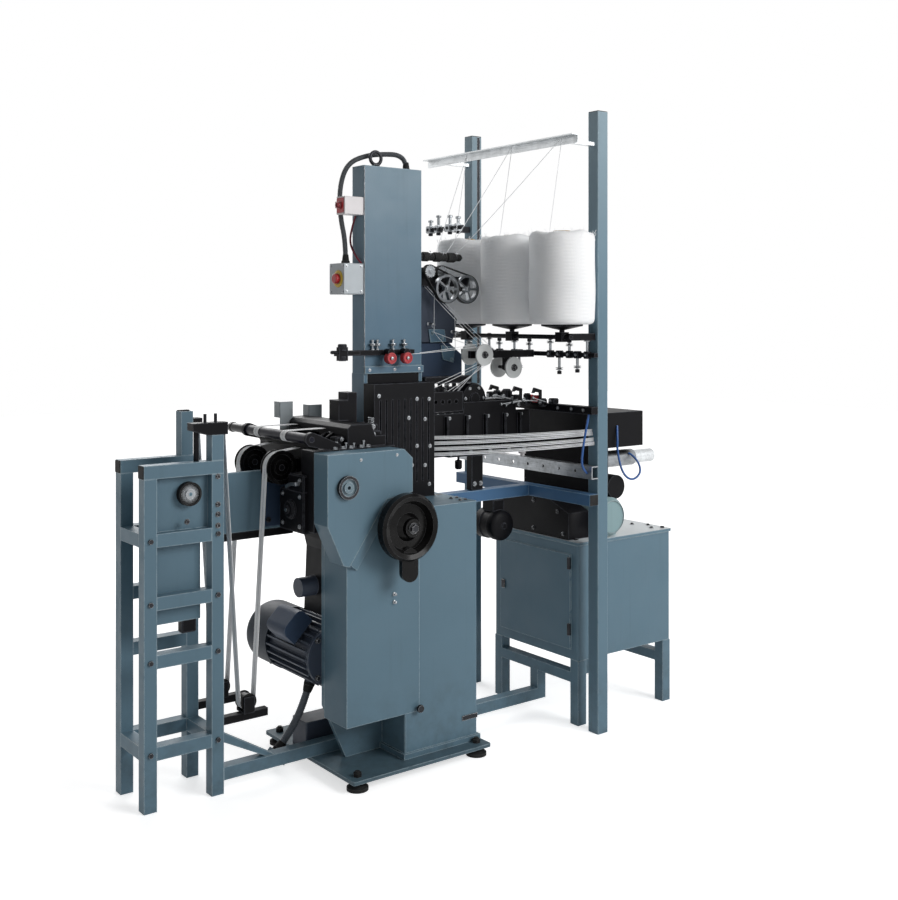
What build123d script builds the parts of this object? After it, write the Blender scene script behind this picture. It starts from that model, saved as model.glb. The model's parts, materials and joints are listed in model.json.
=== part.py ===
from build123d import *
import math
import os

os.makedirs("parts", exist_ok=True)

# Zipper chain making machine, in mm with +Z up and the floor at z = 0.
# Places are measured from the front left corner of the base plate: x to the right along the
# machine front, y to the back. The function at() moves them so that the middle of the plan is the origin.

# Shared stock and fits
run_gap = 0.3        # round every turning piece
cut_over = 5.0       # how far a cut runs past its wall
weld_seam = 0.1      # joint line between bars that are welded end to side
sheet_t = 3.0
tube_wall = 3.0
stand_tube = 40.0
bolt_r = 8.0
bolt_h = 6.0

# Base plate and levelling feet
base_l = 540.0
base_d = 560.0
base_t = 12.0
base_corner = 8.0
foot_h = 28.0
foot_r = 34.0
foot_rim = 10.0
foot_neck_r = 15.0
foot_neck = 6.0
foot_inset = 36.0
stud_r = 8.0
nut_r = 14.0
nut_h = 12.0
stud_tip = 5.0

# Pedestal column and its back plate
front_step = 60.0
col_x = 231.0
col_w = 296.0
col_d = 410.0
col_h = 798.0
col_corner = 6.0
skirt_out = 8.0
skirt_h = 18.0
plate_t = 16.0
plate_foot_w = 141.0
plate_taper_h = 180.0

# Belt casing and head cover
casing_x = 10.0
casing_w = 277.0
casing_d = 130.0
casing_z = 184.0
cover_x = -75.0
cover_w = 316.0
cover_z = 680.0
cover_h = 356.0
cover_out = 27.0
cover_d = 80.0
cover_flank = 24.0
cover_outline_shares = (
    (0.0, 1.0), (0.895, 1.0), (1.0, 0.915), (1.0, 0.61),
    (0.78, 0.58), (0.32, 0.0), (0.18, 0.04), (0.0, 0.39),
)
cap_x_share = 0.22
cap_z_share = 0.71
cap_r = 36.0
cap_out = 13.0
cap_ring = 9.0
cap_dish = 7.0
cap_hub_r = 17.0
cap_hole_r = 6.0

# Handwheel, main shaft and belt drive
shaft_inset = 37.0
shaft_drop = 42.0
shaft_r = 14.0
shaft_back = 34.0
wheel_r = 106.0
wheel_d = 58.0
wheel_clear = 10.0
wheel_outline_shares = (
    (0.26, 0.0), (0.29, 0.22), (0.42, 0.46), (0.68, 0.52), (0.79, 0.14),
    (0.92, 0.05), (1.0, 0.22), (1.0, 0.72), (0.92, 0.85), (0.78, 0.78),
    (0.68, 0.7), (0.3, 0.78), (0.3, 1.0),
)
grip_reach = 144.0
grip_r = 27.0
grip_t = 26.0
grip_lean = 13.0
driven_share = 0.8
belt_t = 4.0
belt_w = 30.0
belt_y_share = 0.5

# Motor
motor_x = 55.0
motor_z = 367.0
motor_flange_r = 95.0
motor_flange_t = 12.0
motor_core_r = 87.0
motor_fin_r = 102.0
motor_fin_t = 5.0
motor_fins = 24
motor_body_l = 252.0
motor_fan_r = 104.0
motor_fan_l = 158.0
motor_fan_round = 34.0
motor_shaft_r = 10.0
motor_pulley_r = 20.0
motor_pad = 18.0
motor_hub_r = 30.0
terminal_w = 96.0
terminal_d = 116.0
terminal_h = 66.0
terminal_round = 26.0
terminal_y_share = 0.42
terminal_lean = 45.0
rotor_seat = 46.0
rotor_end_gap = 6.0

# Motor conduit and the box behind the floor rail
hose_r = 13.0
hose_gland_r = 19.0
hose_gland_h = 14.0
hose_set = 7.0
hose_y_share = 0.5
hose_steps = ((27.0, 75.0), (70.0, 143.0), (122.0, 201.0))
hose_socket = 40.0
hose_socket_l = 24.0
bend_share = 0.45
jbox_x = 15.0
jbox_y = 310.0
jbox_w = 135.0
jbox_d = 92.0
jbox_h = 92.0
jbox_corner = 5.0

# Head frame with the take-off block on it
head_x = -20.0
head_w = 246.0
head_d = 450.0
head_h = 202.0
head_drop = 50.0
head_drop_d = 76.0
drive_case_x = 12.0
drive_case_w = 88.0
drive_case_d = 114.0
drive_case_h = 336.0
drive_case_shares = ((0.0, 0.0), (0.1, 0.62), (0.0, 0.72), (0.0, 1.0), (1.0, 1.0), (1.0, 0.0))
pickup_r = 31.0
pickup_l = 56.0
pickup_z_share = 0.26
step_block_x = 95.0
step_block_w = 90.0
step_block_h = 164.0
step_block_d = 60.0
step_block_shares = (
    (0.0, 0.0), (0.0, 0.4), (0.21, 0.4), (0.21, 0.85), (0.6, 0.85), (0.6, 1.0), (1.0, 1.0), (1.0, 0.0),
)
takeoff_x = 60.0
takeoff_w = 145.0
takeoff_h = 72.0
takeoff_inset = 20.0
takeoff_outline_shares = (
    (0.0, 0.0), (0.0, 0.84), (0.1, 1.0), (0.62, 1.0), (0.72, 0.45), (1.0, 0.45), (1.0, 0.0),
)

# Guide roller, tape wheels and their arms
roller_x = -75.0
roller_up = 35.0
roller_r = 16.0
journal_r = 8.0
arm_t = 14.0
arm_eye_r = 22.0
arm_foot = 50.0
arm_foot_h = 14.0
arm_inset = 12.0
side_play = 1.0
twheel_x = -105.0
twheel_drop = 62.0
twheel_r = 48.0
twheel_flange_r = 54.0
twheel_flange_t = 3.0
twheel_w = 40.0
twheel_pin_r = 10.0
twheel_eye_r = 20.0
twheel_hub_r = 24.0
twheel_dish = 7.0

# Zipper tapes
tape_w = 30.0
tape_t = 1.6
inlet_w = 12.0
inlet_edge = 0.75
inlet_from_shares = (0.5, 0.45, 0.4, 0.35)
inlet_up_shares = (0.55, 0.5, 0.4, 0.33)
inlet_post_up = 110.0

# Delivery stand on the left
stand_x = -560.0
stand_l = 255.0
stand_y = 256.0
stand_d = 219.0
stand_h = 1017.0
rail_height_shares = (0.147, 0.412, 0.58, 0.762)
wheel_plate_t = 6.0
wheel_plate_set = 28.0
dwheel_r = 36.0
dwheel_t = 22.0
dwheel_hub_r = 15.0
dwheel_pin_r = 6.0
dwheel_dish = 5.0
dwheel_x_share = 0.62
dwheel_z_share = 0.66
link_t = 12.0
link_h = 190.0
link_drop = 63.0
link_y_share = 0.3
brace_w = 30.0
brace_t = 28.0
brace_run = 175.0
brace_top = 185.0
clamp_l = 116.0
clamp_h = 38.0
clamp_up = 78.0
clamp_out = 14.0
clamp_outline_shares = ((0.0, 1.0), (1.0, 1.0), (1.0, 0.0), (0.45, 0.0), (0.0, 0.4))
clamp_rod_r = 8.0
clamp_rod_share = 0.17
clamp_stud_r = 5.0
clamp_stud_h = 26.0
clamp_stud_shares = (0.42, 0.72)
tall_post_share = 0.85
tall_post_h = 139.0
floor_rail_h = 40.0

# Return arms and pulleys
rarm_l = 155.0
rarm_w = 24.0
rarm_h = 24.0
rarm_z = 205.0
rpulley_out = 84.0
rpulley_up = 33.0
rpulley_r = 24.0
rpulley_lip = 3.0
rpulley_w = 40.0
rpulley_pin_r = 6.0
cheek_t = 5.0
cheek_w = 36.0
cheek_h = 50.0
cheek_base = 4.0

# Tower and heald housing
tower_x = 232.0
tower_y = 300.0
tower_w = 241.0
tower_d = 75.0
tower_lift = 424.0
tower_h = 703.0
tower_corner = 5.0
tower_leg_t = 14.0
tower_lip = 9.0
tower_lip_h = 24.0
heald_w = 249.0
heald_d = 64.0
heald_h = 392.0
heald_slots = 9
heald_slot_w = 5.0
heald_slot_d = 6.0
heald_slot_share = 0.72
comb_l = 150.0
comb_h = 70.0
comb_t = 22.0
comb_up_share = 0.72
comb_holes = 4
comb_hole_r = 7.0

# Tower fittings
eye_r = 22.0
eye_wire = 6.0
eye_base_r = 14.0
eye_base_h = 10.0
eye_x_share = 0.3
tube_r = 9.0
tube_y_share = 0.86
tube_from_share = 0.91
tube_in = 32.0
tube_steps = (
    (220.0, 40.0), (153.0, 52.0), (53.0, 44.0), (-25.0, 10.0),
    (-56.0, -70.0), (-54.0, -170.0), (-32.0, -258.0),
)
sbox_w = 76.0
sbox_d = 52.0
sbox_h = 60.0
sbox_up_share = 0.76
cbox_w = 78.0
cbox_d = 92.0
cbox_h = 104.0
cbox_up_share = 0.38
cbox_corner = 5.0
button_r = 17.0
button_t = 14.0
button_neck_r = 10.0
button_neck_l = 14.0
button_seat = 10.0
button_well = 18.0
button_y_share = 0.4
tbar_over = 118.0
tbar_l = 316.0
tbar_h = 18.0
tbar_t = 16.0
tbar_up = 62.0
tbar_clamp = 34.0
tbar_clamp_h = 30.0
tensioner_r = 13.0
tensioner_l = 30.0
tensioner_shares = (0.67, 0.88)

# Creel
creel_x = 951.0
creel_y = -83.0
creel_d = 753.0
post_w = 50.0
post_corner = 5.0
pack_x = 835.0
pack_y = -25.0
pack_pitch = 265.0
pack_n = 3
pack_r = 115.0
pack_h = 325.0
pack_bore_r = 19.0
pack_round = 22.0
pack_over = 100.0
pack_play = 0.4
cup_r = 72.0
cup_t = 6.0
cup_cone_h = 14.0
cup_stem_r = 9.0
cup_spike_r = 18.0
cup_spike_h = 60.0
prail_r = 8.0
prail_drop = 44.0
prail_clamp = 34.0
creel_arm_w = 24.0
gbar_w = 30.0
gbar_t = 4.0
gbar_drop = 120.0
thread_room = 297.0
gbar_y = -92.0
gbar_l = 862.0
tension_over = 171.0
tension_h = 16.0
rear_rod_up = 47.0
rear_rod_l = 230.0
disc_arm_l = 300.0
disc_arm_t = 12.0
disc_arm_h = 26.0
disc_arm_y_share = 0.42
disc_drop = 48.0
disc_x_shares = (0.88, 0.43)
disc_r = 38.0
disc_t = 6.0
disc_reach = 37.0
spindle_r = 6.0
collar_r = 11.0
collar_t = 6.0

# Yarn feeder on the right of the tower
feed_y_share = 0.7
feed_t = 12.0
feed_bar_h = 36.0
feed_bar_l = 256.0
feed_bar_up_share = 0.455
feed_eye_r = 16.0
feed_pin_r = 5.0
fwheel_r = 50.0
fwheel_rim = 8.0
fwheel_hub_r = 13.0
fwheel_spokes = 5
fwheel_spoke_w = 7.0
feed_wheel_t = 16.0
feed_layer = 24.0
fgear_r = 22.0
fgear_teeth = 14
fgear_tooth_w = 4.0
fgear_tooth_h = 3.0
fbelt_t = 2.5
fwheel_left_x = 122.0
fwheel_right_x = 231.0
fwheel_down = 27.0
fgear_left_x = 46.0
fgear_right_x = 117.0
fgear_up = 32.0
feed_rod_r = 6.0
feed_rod_l = 215.0
feed_rod_up = 86.0
feed_plate_w = 209.0
feed_plate_h = 250.0
feed_plate_drop = 223.0
feed_plate_t = 6.0
feed_plate_shares = ((0.0, 0.0), (0.0, 1.0), (0.69, 0.91), (0.69, 0.62), (1.0, 0.34), (0.89, 0.0))

# Yarn threads
thread_r = 1.0
thread_from = 58.0
thread_pitch = 12.0
thread_top_shares = (0.85, 0.65, 0.45)
thread_arm_shares = (0.75, 0.68, 0.61)
thread_comb_shares = (0.9, 0.75, 0.6)

# Table rails, drilled channel and stop motion bar
table_h = 40.0
channel_h = 45.0
channel_w = 30.0
channel_t = 4.0
channel_up = 52.0
channel_holes = 8
channel_hole_r = 6.0
knob_r = 14.0
knob_h = 24.0
knob_neck_r = 7.0
knob_neck_h = 10.0
knob_shares = (0.51, 0.688, 0.916)
stop_h = 26.0
stop_w = 30.0
stop_up = 277.0
lever_t = 8.0
lever_w = 10.0
lever_h = 46.0
lever_hook = 26.0
lever_shares = (0.355, 0.5, 0.68)

# Cabinet and the unit on it
cab_gap = 4.0
cab_y = 20.0
cab_w = 480.0
cab_d = 460.0
cab_z = 230.0
cab_h = 410.0
cab_corner = 8.0
lid_over = 5.0
door_t = 6.0
door_inset = 36.0
lid_t = 12.0
stretch_h = 36.0
stretch_z = 148.0
um_r = 70.0
um_x = 175.0
um_l = 236.0
um_round = 16.0
um_rim = 12.0
um_dish = 5.0
um_foot_w = 90.0
um_foot_h = 30.0
gear_x = 95.0
gear_w = 150.0
gear_y = 245.0
gear_d = 155.0
gear_h = 318.0
neck_w = 100.0
neck_h = 166.0
neck_y = 44.0
top_w = 284.0
top_h = 130.0
drum_r = 44.0
drum_out = 42.0
drum_z_share = 0.12
gm_r = 31.0
gm_l = 180.0
gm_end_r = 25.0
gm_end_l = 108.0
gm_y_share = 0.3
gm_z_share = 0.7

# Worked out places
base_top = foot_h + base_t
col_top = base_top + col_h
face_y = front_step - sheet_t
plate_y = front_step + casing_d
cover_y = face_y - cover_out
head_y = cover_y + cover_d
head_top = col_top + head_h
head_back = head_y + head_d
shaft_x = col_x - shaft_inset
shaft_z = col_top - shaft_drop
driven_r = driven_share * (shaft_inset - belt_t)
belt_y = front_step + belt_y_share * casing_d
wheel_back = cover_y - wheel_clear
wheel_y = wheel_back - wheel_d
motor_y = plate_y + plate_t
motor_end = motor_y + motor_flange_t + motor_body_l
stand_right = stand_x + stand_l
stand_back = stand_y + stand_d
tape_y_front = stand_y + stand_tube / 2
tape_y_rear = stand_back - stand_tube / 2
roller_z = head_top + roller_up
twheel_z = head_top - twheel_drop
rarm_top = rarm_z + rarm_h
rpulley_x = stand_right + rpulley_out
rpulley_z = rarm_top + rpulley_up
rail_top = base_top + floor_rail_h
clamp_z = stand_h + clamp_up
tower_right = tower_x + tower_w
tower_z = col_top + tower_lift
tower_top = tower_z + tower_h
heald_right = col_x + heald_w
post_back_y = creel_y + creel_d - post_w
front_arm_y = creel_y + post_w / 2
rear_arm_y = post_back_y + post_w / 2
stop_z = col_top + stop_up
tension_z = stop_z + stop_h + tension_over
pack_z = tension_z + tension_h + pack_over
prail_z = pack_z - prail_drop
rear_rod_z = pack_z + pack_h + rear_rod_up
gbar_z = pack_z + pack_h + thread_room
post_h = gbar_z + gbar_drop
lid_top = cab_z + cab_h + lid_t
cab_x = creel_x + cab_gap
table_x = creel_x - stand_tube
plan_right = cab_x + cab_w + lid_over
plan_front = pack_y - pack_r
plan_back = gbar_y + gbar_l
mid_x = (stand_x + plan_right) / 2
mid_y = (plan_front + plan_back) / 2


def at(x, y, z):
    """The place in the part's own frame of a place measured from the base plate's corner."""
    return Vector(x - mid_x, y - mid_y, z)


def block(x_low, x_high, y_low, y_high, z_low, z_high, mode=Mode.ADD):
    """A box between two corners."""
    with Locations(at((x_low + x_high) / 2, (y_low + y_high) / 2, (z_low + z_high) / 2)):
        Box(x_high - x_low, y_high - y_low, z_high - z_low, mode=mode)


def rod(start, end, radius, mode=Mode.ADD):
    """A round bar between two places."""
    along = end - start
    with BuildSketch(Plane(start, z_dir=along)) as end_face:
        Circle(radius)
    extrude(end_face.sketch, amount=along.length, mode=mode)


def tube(start, end, across, width, height):
    """A hollow bar between two places, its width measured along across."""
    along = end - start
    with BuildSketch(Plane(start, x_dir=across, z_dir=along)) as end_face:
        Rectangle(width, height)
        Rectangle(width - 2 * tube_wall, height - 2 * tube_wall, mode=Mode.SUBTRACT)
    extrude(end_face.sketch, amount=along.length)


def turned(centre, outline):
    """A piece turned about the Y axis through centre, from (radius, along) points."""
    with BuildSketch(Plane(centre)) as half:
        with BuildLine():
            Polyline(*outline, close=True)
        make_face()
    revolve(half.sketch, axis=Axis(centre, (0, 1, 0)))


def upright(x, y, z):
    """A sketch plane facing the front, with x to the right and z up."""
    return Plane(at(x, y, z), x_dir=(1, 0, 0), z_dir=(0, -1, 0))


def loop(first, first_r, second, second_r, thickness):
    """The flat outline of a belt round two pulleys."""
    with BuildSketch() as inner:
        with Locations(first):
            Circle(first_r)
        with Locations(second):
            Circle(second_r)
        make_hull()
    with BuildSketch() as outer:
        with Locations(first):
            Circle(first_r + thickness)
        with Locations(second):
            Circle(second_r + thickness)
        make_hull()
    return outer.sketch - inner.sketch


def touch(first, first_r, first_turn, second, second_r, second_turn):
    """The two ends of the straight run from one round to the next, turns being 1 left and -1 right."""
    way = second - first
    lean = math.asin((first_turn * first_r - second_turn * second_r) / way.length)
    heading = math.atan2(way.Y, way.X) + lean
    side = Vector(math.sin(heading), -math.cos(heading))
    return first + side * (first_turn * first_r), second + side * (second_turn * second_r)


def route(name, points):
    """Draws straight runs joined by tangent arcs, each arc as large as the shorter run beside it allows."""
    reached = points[0]
    for before, turn, after in zip(points, points[1:], points[2:]):
        cut = bend_share * min((turn - before).length, (after - turn).length)
        bend_in = turn + (before - turn).normalized() * cut
        bend_out = turn + (after - turn).normalized() * cut
        half_turn = math.radians((turn - before).get_angle(after - turn)) / 2
        print(f"{name}: bend of radius {cut / math.tan(half_turn):.0f}")
        Line(reached, bend_in)
        TangentArc(bend_in, bend_out, tangent=turn - before)
        reached = bend_out
    Line(reached, points[-1])


def middle(centre, radius, first, second):
    """The middle of the arc between two places on a round."""
    return centre + ((first - centre) + (second - centre)).normalized() * radius


# Base plate with a hole for each foot stud
foot_places = [
    at(x, y, 0)
    for x in (foot_inset, base_l - foot_inset)
    for y in (foot_inset, base_d - foot_inset)
]
with BuildPart() as base_plate:
    with BuildSketch(Plane(at(base_l / 2, base_d / 2, foot_h))):
        RectangleRounded(base_l, base_d, base_corner)
    extrude(amount=base_t)
    for place in foot_places:
        rod(place, place + Vector(0, 0, base_top + cut_over), stud_r + run_gap, Mode.SUBTRACT)
base_plate.part.label = "base_plate"
export_step(base_plate.part, "parts/base_plate.step")

# Levelling feet, each a pad, a stud and a nut
with BuildPart() as levelling_feet:
    for place in foot_places:
        with BuildSketch(Plane(place, x_dir=(1, 0, 0), z_dir=(0, -1, 0))):
            with BuildLine():
                Polyline(
                    (0, 0), (foot_r, 0), (foot_r, foot_rim), (foot_neck_r, foot_h - foot_neck),
                    (foot_neck_r, foot_h), (stud_r, foot_h), (stud_r, base_top + nut_h + stud_tip),
                    (0, base_top + nut_h + stud_tip), close=True,
                )
            make_face()
        revolve(axis=Axis(place, (0, 0, 1)))
        with BuildSketch(Plane(place + Vector(0, 0, base_top))):
            RegularPolygon(nut_r, 6)
        extrude(amount=nut_h)
levelling_feet.part.label = "levelling_feet"
export_step(levelling_feet.part, "parts/levelling_feet.step")

# Pedestal: column, foot skirt and the back plate that carries the motor
with BuildPart() as pedestal_column:
    with BuildSketch(Plane(at(col_x + col_w / 2, front_step + col_d / 2, base_top))):
        RectangleRounded(col_w, col_d, col_corner)
    extrude(amount=col_h)
    block(
        col_x - skirt_out, col_x + col_w + skirt_out,
        front_step - skirt_out, front_step + col_d,
        base_top, base_top + skirt_h,
    )
    with BuildSketch(upright(0, plate_y, 0)):
        with BuildLine():
            Polyline(
                (col_x + col_corner, base_top), (col_x - plate_foot_w, base_top),
                (casing_x, base_top + plate_taper_h), (casing_x, col_top),
                (col_x + col_corner, col_top), close=True,
            )
        make_face()
    extrude(amount=-plate_t)
    rod(at(motor_x, plate_y - cut_over, motor_z), at(motor_x, motor_y + cut_over, motor_z),
        motor_hub_r, Mode.SUBTRACT)
    rod(at(shaft_x, plate_y - cut_over, shaft_z), at(shaft_x, motor_y + cut_over, shaft_z),
        shaft_r + run_gap, Mode.SUBTRACT)
pedestal_column.part.label = "pedestal_column"
export_step(pedestal_column.part, "parts/pedestal_column.step")

# Belt casing, one folded sheet
with BuildPart() as belt_casing:
    with BuildSketch(Plane(at(casing_x, face_y, casing_z))):
        with BuildLine():
            Polyline(
                (0, plate_y - face_y), (0, 0), (casing_w, 0), (casing_w, sheet_t),
                (sheet_t, sheet_t), (sheet_t, plate_y - face_y), close=True,
            )
        make_face()
    extrude(amount=col_top - casing_z)
    rod(at(shaft_x, face_y - cut_over, shaft_z), at(shaft_x, front_step + cut_over, shaft_z),
        shaft_r + cut_over, Mode.SUBTRACT)
belt_casing.part.label = "belt_casing"
export_step(belt_casing.part, "parts/belt_casing.step")

# Head cover, raised in front of the casing, with a bevelled flank
with BuildPart() as head_cover:
    with BuildSketch(upright(cover_x, cover_y, cover_z)):
        with BuildLine():
            Polyline(*[(cover_w * u, cover_h * v) for u, v in cover_outline_shares], close=True)
        make_face()
    extrude(amount=-cover_d)
    front_face = head_cover.faces().sort_by(Axis.Y)[0]
    flank_low = at(cover_x + cover_w * cover_outline_shares[5][0], cover_y, cover_z)
    flank_high = at(
        cover_x + cover_w * cover_outline_shares[4][0], cover_y,
        cover_z + cover_h * cover_outline_shares[4][1],
    )
    flank_edge = front_face.edges().sort_by_distance((flank_low + flank_high) / 2)[0]
    chamfer(flank_edge, cover_flank)
    block(casing_x, cover_x + cover_w + cut_over, face_y, head_y + cut_over,
          cover_z - cut_over, col_top, Mode.SUBTRACT)
head_cover.part.label = "head_cover"
export_step(head_cover.part, "parts/head_cover.step")

# Bearing cap on the head cover, a ringed dish with a hole
cap_place = at(cover_x + cover_w * cap_x_share, cover_y - cap_out, cover_z + cover_h * cap_z_share)
with BuildPart() as bearing_cap:
    turned(cap_place, [
        (cap_hole_r, cap_out), (cap_r, cap_out), (cap_r, 0), (cap_r - cap_ring, 0),
        (cap_r - cap_ring, cap_dish), (cap_hub_r, cap_dish), (cap_hub_r, 0), (cap_hole_r, 0),
    ])
bearing_cap.part.label = "bearing_cap"
export_step(bearing_cap.part, "parts/bearing_cap.step")

# Handwheel, a dished disc with a round grip at its foot
wheel_place = at(shaft_x, wheel_y, shaft_z)
with BuildPart() as handwheel:
    turned(wheel_place, [(shaft_r, 0)] + [
        (wheel_r * u, wheel_d * v) for u, v in wheel_outline_shares
    ] + [(shaft_r, wheel_d)])
    grip_plane = upright(shaft_x, wheel_y + (wheel_d - grip_t) / 2, shaft_z)
    with BuildSketch(grip_plane.rotated((0, 0, -grip_lean))):
        with Locations((0, -(grip_reach + wheel_r - grip_r / 2) / 2)):
            SlotCenterToCenter(grip_reach - wheel_r + grip_r / 2, 2 * grip_r, rotation=90)
    extrude(amount=-grip_t)
handwheel.part.label = "handwheel"
export_step(handwheel.part, "parts/handwheel.step")

# Main shaft with the driven pulley
shaft_end = motor_y + shaft_back
with BuildPart() as main_shaft:
    turned(at(shaft_x, 0, shaft_z), [
        (0, wheel_y), (shaft_r, wheel_y), (shaft_r, belt_y - belt_w / 2),
        (driven_r, belt_y - belt_w / 2), (driven_r, belt_y + belt_w / 2),
        (shaft_r, belt_y + belt_w / 2), (shaft_r, shaft_end), (0, shaft_end),
    ])
main_shaft.part.label = "main_shaft"
export_step(main_shaft.part, "parts/main_shaft.step")

# Motor shaft with its pulley, running in the motor
rotor_end = motor_y + rotor_seat
with BuildPart() as motor_rotor:
    turned(at(motor_x, 0, motor_z), [
        (0, belt_y - belt_w / 2), (motor_pulley_r, belt_y - belt_w / 2),
        (motor_pulley_r, belt_y + belt_w / 2), (motor_shaft_r, belt_y + belt_w / 2),
        (motor_shaft_r, rotor_end), (0, rotor_end),
    ])
motor_rotor.part.label = "motor_rotor"
export_step(motor_rotor.part, "parts/motor_rotor.step")

# Drive belt
with BuildPart() as drive_belt:
    with BuildSketch(upright(motor_x, belt_y + belt_w / 2, motor_z)):
        add(loop((0, 0), motor_pulley_r + run_gap, (shaft_x - motor_x, shaft_z - motor_z),
                 driven_r + run_gap, belt_t))
    extrude(amount=belt_w)
drive_belt.part.label = "drive_belt"
export_step(drive_belt.part, "parts/drive_belt.step")

# Motor housing: flange, core, fins, pad for the terminal box and hose gland
hose_y = motor_y + motor_flange_t + hose_y_share * motor_body_l
hose_top = motor_z - motor_fin_r - hose_gland_h
pad_y = motor_y + motor_flange_t + terminal_y_share * motor_body_l
pad_up = motor_fin_r + motor_fin_t
lean = math.radians(terminal_lean)
terminal_way = Vector(-math.sin(lean), 0, math.cos(lean))
terminal_plane = Plane(at(motor_x, pad_y, motor_z), x_dir=(0, 1, 0), z_dir=terminal_way)
hose_x = motor_x - hose_set
hose_points = [at(hose_x, hose_y, hose_top)]
for out, down in hose_steps:
    hose_points.append(at(hose_x - out, hose_y, hose_top - down))
gland_way = (hose_points[0] - hose_points[1]).normalized()
with BuildPart() as motor_housing:
    with BuildSketch(upright(motor_x, motor_y, motor_z)):
        Circle(motor_flange_r)
    extrude(amount=-motor_flange_t)
    with BuildSketch(upright(motor_x, motor_y + motor_flange_t, motor_z)):
        Circle(motor_core_r)
        with PolarLocations((motor_core_r + motor_fin_r) / 2 - motor_fin_t / 2, motor_fins):
            Rectangle(motor_fin_r - motor_core_r + motor_fin_t, motor_fin_t)
    extrude(amount=-motor_body_l)
    with BuildSketch(terminal_plane):
        Rectangle(terminal_d - 2 * motor_pad, terminal_w - 2 * motor_pad)
    extrude(amount=pad_up)
    rod(hose_points[0], hose_points[0] + gland_way * motor_core_r, hose_gland_r)
    rod(at(motor_x, motor_y - cut_over, motor_z), at(motor_x, rotor_end + rotor_end_gap, motor_z),
        motor_shaft_r + run_gap, Mode.SUBTRACT)
motor_housing.part.label = "motor_housing"
export_step(motor_housing.part, "parts/motor_housing.step")

# Motor fan cover, a round-ended can
with BuildPart() as motor_fan_cover:
    with BuildSketch(upright(motor_x, motor_end, motor_z)):
        Circle(motor_fan_r)
    extrude(amount=-motor_fan_l)
    fillet(motor_fan_cover.faces().sort_by(Axis.Y)[-1].edges(), motor_fan_round)
motor_fan_cover.part.label = "motor_fan_cover"
export_step(motor_fan_cover.part, "parts/motor_fan_cover.step")

# Terminal box on the motor's left flank, round topped
with BuildPart() as motor_terminal_box:
    with BuildSketch(terminal_plane.offset(pad_up)):
        Rectangle(terminal_d, terminal_w)
    extrude(amount=terminal_h)
    box_top = motor_terminal_box.faces().sort_by(Axis(terminal_plane.origin, terminal_plane.z_dir))[-1]
    fillet(box_top.edges().filter_by(Axis.Y), terminal_round)
motor_terminal_box.part.label = "motor_terminal_box"
export_step(motor_terminal_box.part, "parts/motor_terminal_box.step")

# Flexible conduit from the motor down to its socket on the floor rail
with BuildPart() as motor_conduit:
    with BuildLine():
        route("motor conduit", hose_points)
    with BuildSketch(Plane(hose_points[0], z_dir=hose_points[1] - hose_points[0])):
        Circle(hose_r)
    sweep()
motor_conduit.part.label = "motor_conduit"
export_step(motor_conduit.part, "parts/motor_conduit.step")

# Box behind the floor rail
with BuildPart() as junction_box:
    with BuildSketch(Plane(at(jbox_x + jbox_w / 2, jbox_y + jbox_d / 2, base_top))):
        RectangleRounded(jbox_w, jbox_d, jbox_corner)
    extrude(amount=jbox_h)
junction_box.part.label = "junction_box"
export_step(junction_box.part, "parts/junction_box.step")

# Head frame: main block, drop behind the cover's skirt, take-off and stepped blocks, drive case below
with BuildPart() as head_frame:
    block(head_x, head_x + head_w, head_y, head_back, col_top, head_top)
    block(cover_x, casing_x, head_y, head_y + head_drop_d, col_top - head_drop, head_top)
    with BuildSketch(upright(takeoff_x, head_y + takeoff_inset, head_top)):
        with BuildLine():
            Polyline(*[(takeoff_w * u, takeoff_h * v) for u, v in takeoff_outline_shares], close=True)
        make_face()
    extrude(amount=-(head_d - 2 * takeoff_inset))
    with BuildSketch(upright(step_block_x, tower_y - step_block_d / 2, head_top)):
        with BuildLine():
            Polyline(*[(step_block_w * u, step_block_h * v) for u, v in step_block_shares], close=True)
        make_face()
    extrude(amount=-step_block_d)
    case_low = col_top - weld_seam - drive_case_h
    pickup_y = motor_y + drive_case_d / 2
    pickup_z = case_low + pickup_z_share * drive_case_h
    with BuildSketch(upright(drive_case_x, motor_y, case_low)):
        with BuildLine():
            Polyline(*[(drive_case_w * u, drive_case_h * v) for u, v in drive_case_shares], close=True)
        make_face()
    extrude(amount=-drive_case_d)
    rod(at(drive_case_x - pickup_l, pickup_y, pickup_z),
        at(drive_case_x + drive_case_w / 2, pickup_y, pickup_z), pickup_r)
head_frame.part.label = "head_frame"
export_step(head_frame.part, "parts/head_frame.step")

# Arms: two roller bearings on the head and two brackets with a pin for the tape wheels
arm_front_y = head_y + arm_inset
arm_rear_y = head_back - arm_inset - arm_t
with BuildPart() as roller_arms:
    for arm_y in (arm_front_y, arm_rear_y):
        with BuildSketch(upright(0, arm_y, 0)):
            with Locations((roller_x, roller_z)):
                Circle(arm_eye_r)
            with Locations((head_x + arm_foot / 2, head_top + arm_foot_h / 2)):
                Rectangle(arm_foot, arm_foot_h)
            make_hull()
            with Locations((roller_x, roller_z)):
                Circle(journal_r + run_gap, mode=Mode.SUBTRACT)
            with Locations((cover_x, head_top - arm_foot / 2)):
                Rectangle(2 * (head_x - cover_x), arm_foot, mode=Mode.SUBTRACT)
        extrude(amount=-arm_t)
    for tape_y in (tape_y_front, tape_y_rear):
        bracket_y = tape_y + twheel_w / 2 + side_play
        with BuildSketch(upright(0, bracket_y, 0)):
            with Locations((twheel_x, twheel_z)):
                Circle(twheel_eye_r)
            with Locations((head_x - arm_foot_h / 2, twheel_z)):
                Rectangle(arm_foot_h, 2 * twheel_eye_r)
            make_hull()
        extrude(amount=-arm_t)
        rod(at(twheel_x, tape_y - twheel_w / 2 - side_play, twheel_z),
            at(twheel_x, bracket_y + arm_t, twheel_z), twheel_pin_r)
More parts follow.
